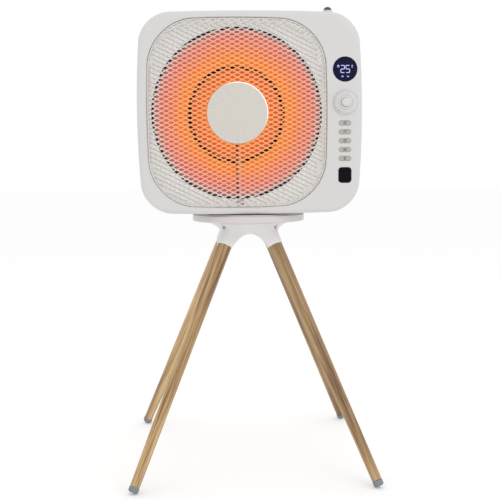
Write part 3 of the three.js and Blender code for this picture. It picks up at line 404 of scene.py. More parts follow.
def meshPaintAndGlow():
    # white powder coat with a painted glow in front of the dish: a warmer base colour and a faint emission
    # stand in for the element's light
    finish = Finish("grillePaintAndGlow", tints["grille"], 0.5)
    radius = finish.fromAxis(dishMiddle)
    speck = finish.noise(finish.place(), 900.0, 2.0)
    # painted glow: in front of the dish the paint turns peach and glows faintly
    lit = 1 - radius.band(dishRadius - 16.0, dishRadius + 4.0)
    stops = [(0.0, srgb(226, 146, 92)), (0.42, srgb(228, 146, 92)), (0.60, srgb(226, 150, 96))]
    stops += [(0.72, srgb(224, 150, 106)), (0.86, srgb(224, 156, 138)), (1.0, srgb(214, 160, 150))]
    glowRamp = finish.ramp(radius / glowReach, stops)
    finish.set("Base Color", finish.mix(lit, tints["grille"], glowRamp))
    glow = [(0.0, (0.20, 0.07, 0.02)), (0.42, (0.20, 0.07, 0.02)), (0.66, (0.18, 0.06, 0.01))]
    glow += [(0.86, (0.12, 0.03, 0.02)), (1.0, (0.06, 0.02, 0.02))]
    finish.lit(finish.mix(lit, (0.0, 0.0, 0.0), finish.ramp(radius / glowReach, glow)))
    finish.set("Roughness", speck * 0.15 + 0.42)
    return finish.bump(speck, 0.12, 0.06)


def grilleEdge():
    # the cut walls and the back of the sheet: painted shade in a grey darker than the paint, warmed to
    # brown-orange in front of the dish by painted glow
    finish = Finish("grilleEdge", srgb(150, 149, 146), 0.6)
    lit = 1 - finish.fromAxis(dishMiddle).band(dishRadius - 14.0, dishRadius)
    cloud = finish.noise(finish.place(), 300.0, 2.0)
    shadedGrey = finish.mix(cloud, srgb(150, 150, 148), srgb(176, 176, 174))
    # painted shade, and painted glow in front of the dish
    finish.set("Base Color", finish.mix(lit, shadedGrey, srgb(150, 74, 48)))
    finish.set("Roughness", cloud * 0.2 + 0.5)
    return finish.bump(cloud, 0.1, 0.05)


def reflectorGlow():
    # spun bright metal with a painted glow for the element's light on it: orange near the throat, rose at the
    # rim
    finish = Finish("reflectorGlow", srgb(136, 78, 54), 0.3, Metallic=0.35)
    radius = finish.fromAxis(dishMiddle)
    cloud = finish.noise(finish.mapped(finish.place(), (22.0, 22.0, 9.0)), 1.0, 2.0)
    spun = (radius * 2.4).math("SINE")
    stops = [(0.0, (0.80, 0.30, 0.07)), (0.37, (0.62, 0.13, 0.02)), (0.45, (0.50, 0.08, 0.02))]
    stops += [(0.54, (0.40, 0.055, 0.03)), (0.61, (0.66, 0.16, 0.02)), (0.70, (0.66, 0.15, 0.02))]
    stops += [(0.80, (0.54, 0.12, 0.06)), (0.93, (0.42, 0.10, 0.08)), (1.0, (0.20, 0.05, 0.05))]
    glowRamp = finish.ramp(radius / glowReach, stops)
    # painted glow: this emission stands in for the element's light on the dish
    finish.lit(finish.mix(cloud * 0.12, glowRamp, srgb(255, 160, 80)))
    finish.set("Roughness", cloud * 0.2 + 0.2)
    return finish.bump(spun, 0.15, 0.08)


def discMetal():
    # warm satin disc: turned rings, faint spokes and a painted highlight on the bevel, whiter and glowing on
    # the side towards the lamp
    finish = Finish("discMetal", srgb(206, 200, 189), 0.36, Metallic=0.55)
    radius = finish.fromAxis(dishMiddle)
    shift = tuple(float(-v) * mm for v in (dishMiddle[0], 0, dishMiddle[2]))
    away = finish.mapped(finish.place(), shift=shift)
    upright = finish.mapped(away, turn=(np.pi / 2, 0, 0))
    turn = finish.node("TexGradient", {"gradient_type": "RADIAL"}, {0: upright}, output=1)
    spokes = finish.noise(finish.node("CombineXYZ", None, {0: turn * 90.0}), 1.0, 3.0)
    rings = finish.noise(finish.node("CombineXYZ", None, {0: radius * 0.9}), 1.0, 3.0)
    grain = rings * 0.5 + spokes * 0.5
    towardsLamp = {0: away, 1: (14.0, 0.0, 14.0)}
    side = finish.node("VectorMath", {"operation": "DOT_PRODUCT"}, towardsLamp, output="Value")
    face = finish.mix(grain.band(0.34, 0.66), srgb(200, 195, 186), srgb(215, 210, 202))
    # painted highlight: the bevel band on the lamp's side is whitened and given a faint glow
    bevel = radius.band(disc["bevelStart"], disc["bevelStart"] + 0.8) * side.band(0.1, 0.75)
    finish.set("Base Color", finish.mix(bevel, face, srgb(252, 250, 247)))
    finish.lit(finish.mix(bevel, (0.0, 0.0, 0.0), (0.14, 0.14, 0.13)))
    finish.set("Roughness", grain * 0.2 + 0.26)
    return finish.bump((radius * 5.2).math("SINE") * 0.5 + spokes * 0.5, 0.2, 0.05)


def turnedWood():
    # grain runs along the leg: rings squeezed across it, stretched along it, with fine pores
    finish = Finish("turnedWood", srgb(176, 146, 104), 0.5, Coat_Weight=0.2, Coat_Roughness=0.3)
    grain = finish.own("grain")
    wide = finish.noise(finish.mapped(grain, (70.0, 70.0, 3.2)), 1.0, 3.0)
    fine = finish.noise(finish.mapped(grain, (420.0, 420.0, 9.0)), 1.0, 4.0, 0.65)
    pore = finish.noise(finish.mapped(grain, (1500.0, 1500.0, 42.0)), 1.0, 2.0).band(0.60, 0.74)
    stops = [(0.38, srgb(88, 56, 28)), (0.47, srgb(166, 130, 84)), (0.58, srgb(216, 184, 134))]
    color = finish.ramp(wide * 0.55 + fine * 0.45, stops)
    # the tone attribute darkens each leg by its own amount, and its top more as painted shade under the hub
    tone = finish.node("Attribute", {"attribute_name": "tone"}, output="Fac")
    darkened = finish.mix(tone, color, srgb(104, 76, 48))
    finish.set("Base Color", finish.mix(pore * 0.6, darkened, srgb(78, 56, 34)))
    finish.set("Roughness", fine * 0.25 + 0.36)
    return finish.bump(fine - pore * 0.6, 0.25, 0.12)


def circuitBoard():
    # green mask with brighter tracks
    finish = Finish("circuitBoard", srgb(36, 98, 60), 0.4)
    tracks = finish.node("TexBrick", {"offset": 0.37}, {
        "Vector": finish.mapped(finish.place(), (1, 1, 1), turn=(np.pi / 2, 0, 0)),
        "Color1": (*srgb(30, 88, 54), 1.0), "Color2": (*srgb(44, 112, 70), 1.0),
        "Mortar": (*srgb(92, 150, 96), 1.0), "Scale": 160.0, "Mortar Size": 0.03,
    })
    finish.set("Base Color", tracks)
    return finish.bump(finish.noise(finish.place(), 500.0), 0.1, 0.05)


def wovenScreen():
    # dark woven cloth behind the vents, a painted shade for the dark inside of the casing: two sets of fine
    # threads that cross
    finish = Finish("wovenScreen", srgb(46, 47, 50), 0.8)
    split = finish.node("SeparateXYZ", None, {0: finish.mapped(finish.place(), (3200.0, 0.0, 3200.0))})
    across = Link(finish, split.socket.node.outputs["X"]).math("SINE")
    up = Link(finish, split.socket.node.outputs["Z"]).math("SINE")
    weave = (across * up).band(-0.6, 0.8)
    finish.set("Base Color", finish.mix(weave, srgb(26, 27, 29), srgb(58, 59, 62)))
    return finish.bump(weave, 0.4, 0.2)


def ceramicFinish():
    # unglazed body with a fine speckle, and a painted orange glow for the coil's light on it
    finish = Finish("ceramic", srgb(232, 206, 172), 0.75)
    speck = finish.noise(finish.place(), 700.0, 4.0)
    finish.set("Base Color", finish.mix(speck, srgb(214, 180, 140), srgb(244, 226, 200)))
    finish.lit(finish.mix(speck, (0.34, 0.12, 0.03), (0.5, 0.2, 0.06)), 0.6)
    return finish.bump(speck, 0.3, 0.1)


def hotWire():
    # glowing coil with hotter and cooler patches
    finish = Finish("hotWire", srgb(220, 120, 70), 0.5, Metallic=0.6)
    patch = finish.noise(finish.place(), 90.0)
    finish.lit(finish.mix(patch, (1.0, 0.22, 0.03), (1.0, 0.42, 0.12)), 3.0)
    return finish.bump(patch, 0.2, 0.1)


def glossy(name, color, roughness=0.12, **sockets):
    # polished plastic with the faintest ripple and dust
    finish = Finish(name, color, roughness, Specular_IOR_Level=0.06, **sockets)
    dust = finish.noise(finish.place(), 320.0, 3.0)
    finish.set("Roughness", dust * 0.12 + roughness)
    finish.set("Base Color", finish.mix(dust, color, tuple(v * 1.25 + 0.001 for v in color)))
    return finish.bump(finish.noise(finish.place(), 60.0, 1.0), 0.04, 0.1)


def litMark(name, color, strength):
    # marks lit from behind, a little uneven
    finish = Finish(name, tuple(v * 0.4 for v in color), 0.4)
    patch = finish.noise(finish.place(), 500.0, 1.0)
    return finish.lit(finish.mix(patch, tuple(v * 0.85 for v in color), color), strength)


finishes = {
    "casing": moulded("whiteMoulding", tints["casing"]),
    "stand": moulded("standMoulding", tints["stand"], 0.4),
    # the turntable's white is darker and warmer than the stand's, a painted shade under the head
    "shadedTable": moulded("shadedTableMoulding", srgb(208, 202, 200), 0.4),
    "grille": meshPaintAndGlow(),
    "grilleShade": moulded("grilleShade", srgb(146, 146, 144), 0.55),
    "grilleEdge": grilleEdge(),
    "disc": discMetal(),
    # painted light: the baffle's enamel glows faintly, which brightens it behind the mesh
    "baffle": moulded("baffleEnamelAndGlow", tints["baffle"], 0.5).lit((0.30, 0.30, 0.29)),
    "reflector": reflectorGlow(),
    "ceramic": ceramicFinish(),
    "wire": hotWire(),
    "steel": brushed("platedSteel", srgb(186, 187, 188)),
    "stay": moulded("stayEnamel", srgb(226, 212, 202), 0.5),
    "sooted": brushed("sootedSteel", srgb(70, 60, 56), 0.5),
    "nylon": moulded("brownNylon", tints["nylon"], 0.5),
    "wood": turnedWood(),
    "rubber": moulded("greyRubber", tints["rubber"], 0.72, 0.3, 700.0),
    "key": moulded("warmGreyKey", tints["key"], 0.45),
    "dark": moulded("charcoalPlastic", tints["dark"], 0.45),
    "window": glossy("blackWindow", srgb(12, 11, 15)),
    "display": glossy("displayLens", srgb(19, 22, 50), 0.1),
    "board": circuitBoard(),
    "screen": wovenScreen(),
    # a dark ring behind the dish's gap, a painted shade
    "seal": moulded("darkGapShade", srgb(44, 30, 28), 0.8, 0.3, 700.0),
    "digits": litMark("litDigits", srgb(206, 198, 255), 0.9),
    "marks": moulded("keyPrint", srgb(112, 98, 86), 0.6),
}
slotFinish = {
    "casing": "casing", "stand_plastic": "stand", "grille": "grille", "grille_disc": "disc",
    "baffle": "baffle", "reflector": "reflector", "ceramic": "ceramic", "hot_wire": "wire",
    "plated_steel": "steel", "nylon": "nylon", "wood": "wood", "foot_rubber": "rubber",
    "grey_button": "key", "dark_plastic": "dark", "window_black": "window",
    "display_glass": "display", "circuit_board": "board",
}
ownFinish = {"dish_spider": "sooted", "element_stay": "stay"}  # nodes whose finish isn't their slot's
for row in frame["record"]["subparts"]:
    node = frame["nodes"][row["node"]]
    made = ownFinish.get(row["node"], slotFinish[row["material_slot"]])
    node.data.materials.clear()
    node.data.materials.append(finishes[made].material)
say("finishes on %d frame nodes" % len(frame["nodes"]))


# camera and lamps in metres, watts and radians, the lens and the sensor in millimetres
view = {"place": (-0.083, -1.598, 0.530), "target": (0.0025, 0.0, 0.3677), "roll": -0.008}
view |= {"lens": 65.2, "sensor": 36.0}
camera = bpy.data.objects.new("camera", bpy.data.cameras.new("camera"))
camera.data.lens = view["lens"]
camera.data.sensor_width = view["sensor"]
camera.location = view["place"]
toTarget = Vector(view["target"]) - camera.location
camera.rotation_euler = toTarget.to_track_quat("-Z", "Y").to_euler()
camera.rotation_euler.rotate_axis("Z", view["roll"])
bpy.context.scene.collection.objects.link(camera)
bpy.context.scene.camera = camera
bpy.context.scene.view_settings.view_transform = "Standard"

lamps = {
    "key": {"place": (1.3, -2.0, 1.7), "size": 1.5, "power": 7.0, "color": (1.0, 0.985, 0.97)},
    "fill": {"place": (-1.9, -1.5, 1.2), "size": 1.8, "power": 1.0, "color": (0.97, 0.985, 1.0)},
    "above": {"place": (0.1, 0.2, 2.4), "size": 2.2, "power": 3.0, "color": (1.0, 1.0, 1.0)},
    "back": {"place": (0.3, 2.1, 1.5), "size": 1.8, "power": 2.0, "color": (1.0, 1.0, 1.0)},
}
lampAim = Vector((0.0, 0.0, 0.5))
for name, lamp in lamps.items():
    light = bpy.data.objects.new(name, bpy.data.lights.new(name, "AREA"))
    light.data.size = lamp["size"]
    light.data.energy = lamp["power"]
    light.data.color = lamp["color"]
    light.location = lamp["place"]
    light.rotation_euler = (lampAim - light.location).to_track_quat("-Z", "Y").to_euler()
    bpy.context.scene.collection.objects.link(light)

world = bpy.data.worlds.new("studio")
bpy.context.scene.world = world
world.use_nodes = True
world.node_tree.nodes["Background"].inputs["Color"].default_value = (1.0, 1.0, 1.0, 1.0)
world.node_tree.nodes["Background"].inputs["Strength"].default_value = 1.0

floorSize = {"radius": 14000.0, "height": -0.2, "rings": 24, "sides": 64}
# flat rings whose radius grows with the square of their number, carried round Z
shares = np.linspace(0, 1, floorSize["rings"])
profile = [(floorSize["radius"] * share ** 2, floorSize["height"]) for share in shares]
floorGrid = turned(profile, floorSize["sides"])
floorFinish = Finish("paleFloor", (0.86, 0.86, 0.86), 0.9, Specular_IOR_Level=0.0)
floorFinish.lit((1.0, 1.0, 1.0), 0.12)
floor = newPiece("floor", floorGrid.reshape(-1, 3), gridFaces(*floorGrid.shape[:2]), None, floorFinish)
smooth(floor, 60)
say("camera, light and floor")


stand = {"reach": 199.0, "mouthReach": 44.0, "mouthHeight": 379.0, "hubTop": 421.0}
leg = {"top": 24.5, "bottom": 15.6, "bevel": 0.6, "intoHub": 4.0, "steps": 40}
leg |= {"cap": 16.8, "capHeight": 13.0, "capRound": 4.0, "capBevel": 0.8, "capGap": 0.2}
leg |= {"socket": 27.5, "socketPlay": 0.35, "socketDepth": 12.0, "socketTop": 5.0, "screwUp": 28.0}
# how dark each leg is, how much darker its top is (painted shade under the hub), and where it lies in the
# grain
legDarkness = {"front_right": 0.30, "rear_right": 0.28, "rear_left": 0.10, "front_left": 0.06}
topShade, grainShift = 0.20, np.array([0.31, 0.17, 0.5])
signs = {"front_right": (1, -1), "rear_right": (1, 1), "rear_left": (-1, 1), "front_left": (-1, -1)}


def legFrame(name):  # foot, unit direction up the leg, two directions across it, length to the mouth
    sx, sy = signs[name]
    foot = np.array([sx * stand["reach"], sy * stand["reach"], 0.0])
    rise = np.array([sx * stand["mouthReach"], sy * stand["mouthReach"], stand["mouthHeight"]]) - foot
    length = np.linalg.norm(rise)
    up = rise / length
    side = np.cross([0.0, 0.0, 1.0], up)
    side /= np.linalg.norm(side)
    return foot, up, side, np.cross(up, side), length


def alongLeg(name, profile, count=28):
    # a profile of radius and distance up the leg, carried round the leg's axis
    foot, up, side, other, _ = legFrame(name)
    profile = np.array(profile, dtype=float)
    angle = np.linspace(0, 2 * np.pi, count, endpoint=False)[None, :, None]
    ring = np.cos(angle) * side + np.sin(angle) * other
    return foot + profile[:, 1][:, None, None] * up + profile[:, 0][:, None, None] * ring


def legRadius(name, distance):  # grows evenly from the foot to the mouth
    length = legFrame(name)[4]
    return (leg["bottom"] + (leg["top"] - leg["bottom"]) * distance / length) / 2


for index, name in enumerate(legs):
    foot, up, side, other, length = legFrame(name)
    start, end = leg["capHeight"] + leg["capGap"], length + leg["intoHub"]
    steps, bevel = np.linspace(start, end, leg["steps"]), leg["bevel"]
    profile = [(0.0, start), (legRadius(name, start) - bevel, start)]
    profile += [(legRadius(name, s + bevel), s + (bevel if s == start else 0)) for s in steps[:-1]]
    profile += [(legRadius(name, end), end), (0.0, end)]
    piece = gridPiece("wooden_leg_" + name, alongLeg(name, profile), "stand",
                      finishes["wood"], ["leg_" + name])
    points = np.empty(len(piece.data.vertices) * 3)
    piece.data.vertices.foreach_get("co", points)
    points = points.reshape(-1, 3) - foot * mm
    grain = np.stack([points @ side, points @ other, points @ up], axis=1)
    grain += grainShift * (index + 1)
    layer = piece.data.attributes.new("grain", "FLOAT_VECTOR", "POINT")
    layer.data.foreach_set("vector", grain.ravel())
    # darker near the top, a painted shade under the hub, and each leg darker by its own amount
    tone = legDarkness[name] + topShade * np.clip(points @ up / (length * mm), 0, 1) ** 2
    layer = piece.data.attributes.new("tone", "FLOAT", "POINT")
    layer.data.foreach_set("value", tone.astype(np.float32))

    # the cap ends square to the leg with a round edge that just touches the floor
    radius, edge = leg["cap"] / 2, leg["capRound"]
    tilt = np.arccos(up[2])
    start = (edge + np.sin(tilt) * (radius - edge)) / np.cos(tilt)
    profile = [(0.0, start - edge)] + arc((radius - edge, start), edge, -90, 0, 6)
    capTop, bevel = leg["capHeight"], leg["capBevel"]
    profile += [(radius, capTop - bevel), (radius - bevel, capTop), (0.0, capTop)]
    gridPiece("foot_cup_" + name, alongLeg(name, profile), "stand", finishes["rubber"],
              ["foot_cap_" + name])

hub = {"flange": 139.0, "lip": 3.5, "flare": 16.0, "half": 50.0, "corner": 20.0}
hub |= {"skirt": (394.0, 386.0, 378.0, 368.0), "socketFlare": 5.0}  # heights of the outlines below the flare
hub |= {"voxel": 1.5, "ease": 0.6, "rounds": 12}  # how finely it is fused, and how much it is smoothed
hub |= {"arch": 21.0, "archHalf": 30.0, "archReach": 1.45, "archBottom": 330.0, "archSide": 110.0}
hub |= {"trim": 34.0, "trimDepth": 60.0, "well": 3.4, "wellStart": 14.9, "wellEnd": 40.0}
top = stand["hubTop"]
flangeRadius = hub["flange"] / 2
slope = (stand["reach"] - stand["mouthReach"]) / stand["mouthHeight"]
archTop = stand["mouthHeight"] + hub["arch"]


def levelRing(half, corner, z):  # a rounded square at height z
    outline = bowedOutline(rectangle(2 * half, 2 * half, corner), 0, 16, 6)
    return np.stack([outline[:, 0], outline[:, 1], np.full(len(outline), float(z))], axis=1)


def hubFunnel():
    # a round flange that flares down into a rounded square, the half width as (1 - t)^2.2 and the
    # corner as (1 - t)^1.5, then follows the sockets outwards
    rings = [levelRing(r, r - 0.01, z) for r, z in ((flangeRadius - 1, top), (flangeRadius, top - 1))]
    for t in np.linspace(0, 1, 9):
        half = hub["half"] + (flangeRadius - hub["half"]) * (1 - t) ** 2.2
        corner = hub["corner"] + (flangeRadius - hub["corner"]) * (1 - t) ** 1.5
        rings.append(levelRing(half, min(corner, half - 0.01), top - hub["lip"] - hub["flare"] * t))
    for z in hub["skirt"]:
        half = stand["mouthReach"] - (z - stand["mouthHeight"]) * slope + leg["socket"] / 2
        rings.append(levelRing(half, hub["corner"] - 3, z))
    return cutter(rings)


def vault(turn):  # everything under a parabola carried across the hub, along Y or along X
    x = np.linspace(-hub["archReach"], hub["archReach"], 31) * hub["archHalf"]
    z = archTop - hub["arch"] * (x / hub["archHalf"]) ** 2
    x, z = np.append(x, [x[-1], x[0]]), np.append(z, [hub["archBottom"]] * 2)
    sides = [np.full_like(x, side) for side in (-hub["archSide"], hub["archSide"])]
    rings = [np.stack([x, y, z] if turn else [y, x, z], axis=1) for y in sides]
    return cutter(rings)


def screwRing(name, radius, distance):
    # a circle round the leg screw's axis, which leaves the leg's axis square to it, outwards
    foot, up, side, _, length = legFrame(name)
    out = np.cross(side, up)
    out *= np.sign(out @ np.array([*signs[name], 0]))
    turn = np.linspace(0, 2 * np.pi, 24, endpoint=False)[:, None]
    centre = foot + up * (length + leg["screwUp"]) + out * distance
    return centre + radius * (np.cos(turn) * side + np.sin(turn) * up)


hubPiece = hubFunnel()
hubPiece.name = hubPiece.data.name = "hub_moulding"
tools = [vault(True), vault(False)]
for name in legs:
    length = legFrame(name)[4]
    trim = [(hub["trim"], length - hub["trimDepth"]), (hub["trim"], length)]
    tools.append(cutter(alongLeg(name, trim, 24)))
cutWith(hubPiece, *tools)
shape = bmesh.new()
shape.from_mesh(hubPiece.data)
for name in legs:
    length = legFrame(name)[4]
    reach = (top - stand["mouthHeight"]) / legFrame(name)[1][2] - 6
    radius = leg["socket"] / 2
    profile = [(0, length), (radius, length), (radius + 0.5, length + reach * 0.4)]
    profile += [(radius + hub["socketFlare"] * 0.6, length + reach * 0.8)]
    profile += [(radius + hub["socketFlare"], length + reach), (0, length + reach)]
    socket = cutter(alongLeg(name, profile, 40))
    shape.from_mesh(socket.data)
    bpy.data.objects.remove(socket)
shape.to_mesh(hubPiece.data)
shape.free()
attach(hubPiece, "stand")
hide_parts("leg_hub")
finishWith(hubPiece, "REMESH", mode="VOXEL", voxel_size=hub["voxel"] * mm)
finishWith(hubPiece, "SMOOTH", factor=hub["ease"], iterations=hub["rounds"])
hubPiece.data.materials.clear()
hubPiece.data.materials.append(finishes["stand"].material)
tools = []
for name in legs:
    length = legFrame(name)[4]
    radius = leg["top"] / 2 + leg["socketPlay"]
    bore = [(radius, length - leg["socketDepth"]), (radius, length + leg["socketTop"])]
    tools.append(cutter(alongLeg(name, bore, 40)))
    tools.append(cutter([screwRing(name, hub["well"], hub[end]) for end in ("wellStart", "wellEnd")]))
cutWith(hubPiece, *tools)
smooth(hubPiece, 40)
say("stand")

turntable = {"round": 2.2, "bore": 17.5, "rim": 2.2, "rimInset": 4.5, "rimWidth": 5.0, "rimRound": 0.4}
turntable |= {"edgeRound": 1.2, "flatStart": 60.0, "flatEnd": 8.0}
tableLow, rimHigh = low("turntable_disc")[2], high("turntable_disc")[2]
tableHigh = rimHigh - turntable["rim"]
tableRadius = float(high("turntable_disc")[0])
edge, topEdge, rimEdge = turntable["round"], turntable["edgeRound"], turntable["rimRound"]
profile = [(turntable["bore"], tableLow), (turntable["flatStart"], tableLow)]
profile += [(tableRadius - turntable["flatEnd"], tableLow)]
profile += arc((tableRadius - edge, tableLow + edge), edge, -90, 0, 7)
profile += arc((tableRadius - topEdge, tableHigh - topEdge), topEdge, 0, 90, 5)
rimOuter = tableRadius - turntable["rimInset"]
rimInner = rimOuter - turntable["rimWidth"]
profile += [(rimOuter, tableHigh), (rimOuter, rimHigh - rimEdge), (rimOuter - rimEdge, rimHigh)]
profile += [(rimInner, rimHigh), (rimInner, tableHigh), (turntable["bore"], tableHigh), profile[0]]
gridPiece("turntable", turned(profile, 96), "stand", finishes["shadedTable"], ["turntable_disc"])
say("turntable")


bezel = {"round": 9.0, "wall": 2.6, "lip": 1.4, "depth": 13.0}


def headRing(grow, y):  # the head's outline, grown and set at y
    return ringAt(bowedOutline(head, grow, 16, 10), headMiddle, y)


def openingRing(grow, y):  # the mesh opening's outline, grown and set at y
    return ringAt(bowedOutline(opening, grow, 16, 10), dishMiddle, y)


def bezelRings():
    # a closed loop of outlines: out of the opening, over the front, down the side, back inside
    rings = [openingRing(bezel["wall"], frontY + bezel["depth"]), openingRing(0.0, frontY + bezel["depth"])]
    rings += [openingRing(0.0, frontY + bezel["lip"] + 2)]
    for angle in np.radians(np.linspace(0, 90, 5)):
        grow = bezel["lip"] * (1 - np.cos(angle))
        rings.append(openingRing(grow, frontY + bezel["lip"] * (1 - np.sin(angle))))
    inner = openingRing(bezel["lip"] + 0.6, frontY)
    outer = headRing(-bezel["round"] - 0.6, frontY)
    rings += [inner + (outer - inner) * share for share in np.linspace(0, 1, 7)]
    for angle in np.radians(np.linspace(0, 90, 9)):
        grow = -bezel["round"] * (1 - np.sin(angle))
        rings.append(headRing(grow, frontY + bezel["round"] * (1 - np.cos(angle))))
    rings += [headRing(0.0, splitY - 1.0), headRing(-0.5, splitY - 0.2)]
    rings += [headRing(-bezel["wall"], splitY - 0.2)]
    for angle in np.radians(np.linspace(90, 0, 6)):
        radius = bezel["round"] - bezel["wall"]
        grow = -bezel["wall"] - radius * (1 - np.sin(angle))
        rings.append(headRing(grow, frontY + bezel["wall"] + radius * (1 - np.cos(angle))))
    rings += [openingRing(bezel["wall"] + 0.4, frontY + bezel["wall"]), rings[0]]
    return rings


def keyHole(width, height, corner, at, grow, bevel=0.45, depth=12.0):
    # a rounded hole through the bezel's face, wider by the bevel at the front
    size = rectangle(width, height, corner)
    steps = [(bevel + 0.6, frontY - 0.6), (bevel, frontY), (0.0, frontY + bevel), (0.0, frontY + depth)]
    return cutter([ringAt(bowedOutline(size, grow + more, 8, 2), at, y) for more, y in steps])


bezelPiece = gridPiece("bezel_shell", np.stack(bezelRings()), "head",
                       finishes["casing"], ["front_bezel"])
displayAt = middle("display_lens")
dialAt = middle("dial_knob")
windowAt = middle("sensor_window")
displayWidth = span("display_lens", 0)
# holes through the bezel as width, height and corner, and how much each is grown all round
holes = {"display": (displayWidth, displayWidth, displayWidth / 2), "dial": (21.0, 21.0, 10.5)}
holes |= {"key": (20.6, 7.8, 3.9), "window": (21.0, 25.0, 5.0)}
play = {"display": 0.35, "dial": 0.0, "key": 0.1, "window": 0.4, "keyBevel": 0.2}
tools = [keyHole(*holes["display"], displayAt, play["display"])]
tools += [keyHole(*holes["dial"], dialAt, play["dial"])]
tools += [keyHole(*holes["key"], middle(key), play["key"], play["keyBevel"]) for key in keys]
tools += [keyHole(*holes["window"], windowAt, play["window"])]
cutWith(bezelPiece, *tools)
smooth(bezelPiece, 35)

casing = {"round": 34.0, "wall": 2.6, "screwHole": 4.3, "screwHead": 4.9, "gland": 6.4, "button": 7.0}
casing |= {"ventRows": 9, "ventPitch": 21.0, "ventHeight": 7.0, "ventReach": 112.0, "ventBar": 6.0}
casing |= {"pivot": 17.6}


def casingRings():
    # a closed loop of outlines: along the side, round the back's edge to its middle, and back inside
    rings = [headRing(-casing["wall"], splitY + 0.5), headRing(-0.5, splitY + 0.5)]
    rings += [headRing(0.0, splitY + 1.3)]
    rings += [headRing(0.0, y) for y in np.linspace(splitY + 10, backY - casing["round"] - 1, 5)]
    for angle in np.radians(np.linspace(0, 90, 15)):
        grow = -casing["round"] * (1 - np.cos(angle))
        rings.append(headRing(grow, backY - casing["round"] * (1 - np.sin(angle))))
    last = rings[-1]
    centre = np.array([dishMiddle[0], backY, headMiddle[2]])
    rings += [centre + (last - centre) * share for share in (0.985, 0.7, 0.4, 0.1, 0.0)]
    inner = backY - casing["wall"]
    centre = centre * np.array([1, 0, 1]) + np.array([0, inner, 0])
    core = []
    for angle in np.radians(np.linspace(90, 0, 9)):
        radius = casing["round"] - casing["wall"]
        grow = -casing["wall"] - radius * (1 - np.cos(angle))
        core.append(headRing(grow, inner - radius * (1 - np.sin(angle))))
    rings += [centre + (core[0] - centre) * share for share in (0.0, 0.1, 0.5, 0.985)]
    return rings + core + [rings[0]]


def ventTool(x0, x1, z, bevel=1.2):
    # a round-ended slot from x0 to x1, wider by the bevel at the back
    at = np.array([(x0 + x1) / 2, 0, z])
    size = rectangle(x1 - x0, casing["ventHeight"], casing["ventHeight"] / 2 - 0.05)
    steps = [(0.0, backY - 12), (0.0, backY - bevel), (bevel * 0.5, backY - bevel * 0.25)]
    steps += [(bevel + 1, backY + 1)]
    return cutter([ringAt(bowedOutline(size, more, 6, 2), at, y) for more, y in steps])


casingPiece = gridPiece("casing_shell", np.stack(casingRings()), "head",
                        finishes["casing"], ["rear_casing"])
tools = []
for row in range(casing["ventRows"]):
    offset = (row - (casing["ventRows"] - 1) / 2) * casing["ventPitch"]
    reach = np.sqrt(casing["ventReach"] ** 2 - offset ** 2)
    z = headMiddle[2] + offset
    tools.append(ventTool(dishMiddle[0] - reach, dishMiddle[0] - casing["ventBar"], z))
    tools.append(ventTool(dishMiddle[0] + casing["ventBar"], dishMiddle[0] + reach, z))
screws = [middle("case_screw_%d" % (i + 1)) for i in range(4)]
for at in screws:
    profile = [(casing["screwHole"], splitY + 5.0), (casing["screwHole"], backY - 7.0)]
    profile += [(casing["screwHead"], backY - 6.0), (30.0, backY + 30.0)]
    tools.append(cutter(turned(profile, 32, (at[0], 0, at[2]), "Y")))
glandAt, buttonAt = middle("cord_gland"), middle("top_button")
casingBottom, casingTop = low("rear_casing")[2], high("rear_casing")[2]
profile = [(casing["gland"], backY - 20), (casing["gland"], backY + 1)]
tools.append(cutter(turned(profile, 32, (glandAt[0], 0, glandAt[2]), "Y")))
profile = [(casing["button"], casingTop - 20), (casing["button"], casingTop + 2)]
tools.append(cutter(turned(profile, 32, (buttonAt[0], buttonAt[1], 0))))
profile = [(casing["pivot"], casingBottom - 2), (casing["pivot"], casingBottom + 8)]
tools.append(cutter(turned(profile, 48)))
cutWith(casingPiece, *tools)
smooth(casingPiece, 35)

# a tube round each screw, closed at its inner end but for the screw's hole
well = {"outer": 6.2, "inner": 4.4, "bore": 2.0}
well |= {"start": splitY + 4.0, "floor": splitY + 4.9, "end": backY - 14}
wellProfile = [(well["outer"], well["start"]), (well["outer"], well["end"]), (well["inner"], well["end"])]
wellProfile += [(well["inner"], well["floor"]), (well["bore"], well["floor"]), (well["bore"], well["start"])]
wellProfile += [wellProfile[0]]


def wallAt(points):  # y halfway through the casing's back wall, near a corner
    out = [np.abs(points[:, i] - headMiddle[i]) - head[side] / 2 + head[bow] + head["corner"]
           for i, side, bow in ((0, "width", "bowX"), (2, "height", "bowZ"))]
    inset = np.clip(head["corner"] - np.hypot(*np.clip(out, 0, None)), 0, casing["round"])
    return backY - casing["round"] * (1 - np.sin(np.arccos(1 - inset / casing["round"]))) - casing["wall"] / 2


for index, at in enumerate(screws):
    grid = turned(wellProfile, 28, (at[0], 0, at[2]), "Y")
    for row in (1, 2):  # the open end follows the rounded back
        grid[row, :, 1] = wallAt(grid[row])
    gridPiece("screw_well_%d" % (index + 1), grid, "head", finishes["casing"])
# a dark cloth behind the back vents: painted shade for the inside of the casing
screen = {"radius": 119.0, "behind": 2.2, "sheet": 0.8}
y = backY - casing["wall"] - screen["behind"]
profile = [(0.0, y), (screen["radius"], y)]
profile += [(screen["radius"], y + screen["sheet"]), (0.0, y + screen["sheet"])]
gridPiece("back_shade_screen", turned(profile, 72, (dishMiddle[0], 0, headMiddle[2]), "Y"), "head",
          finishes["screen"])

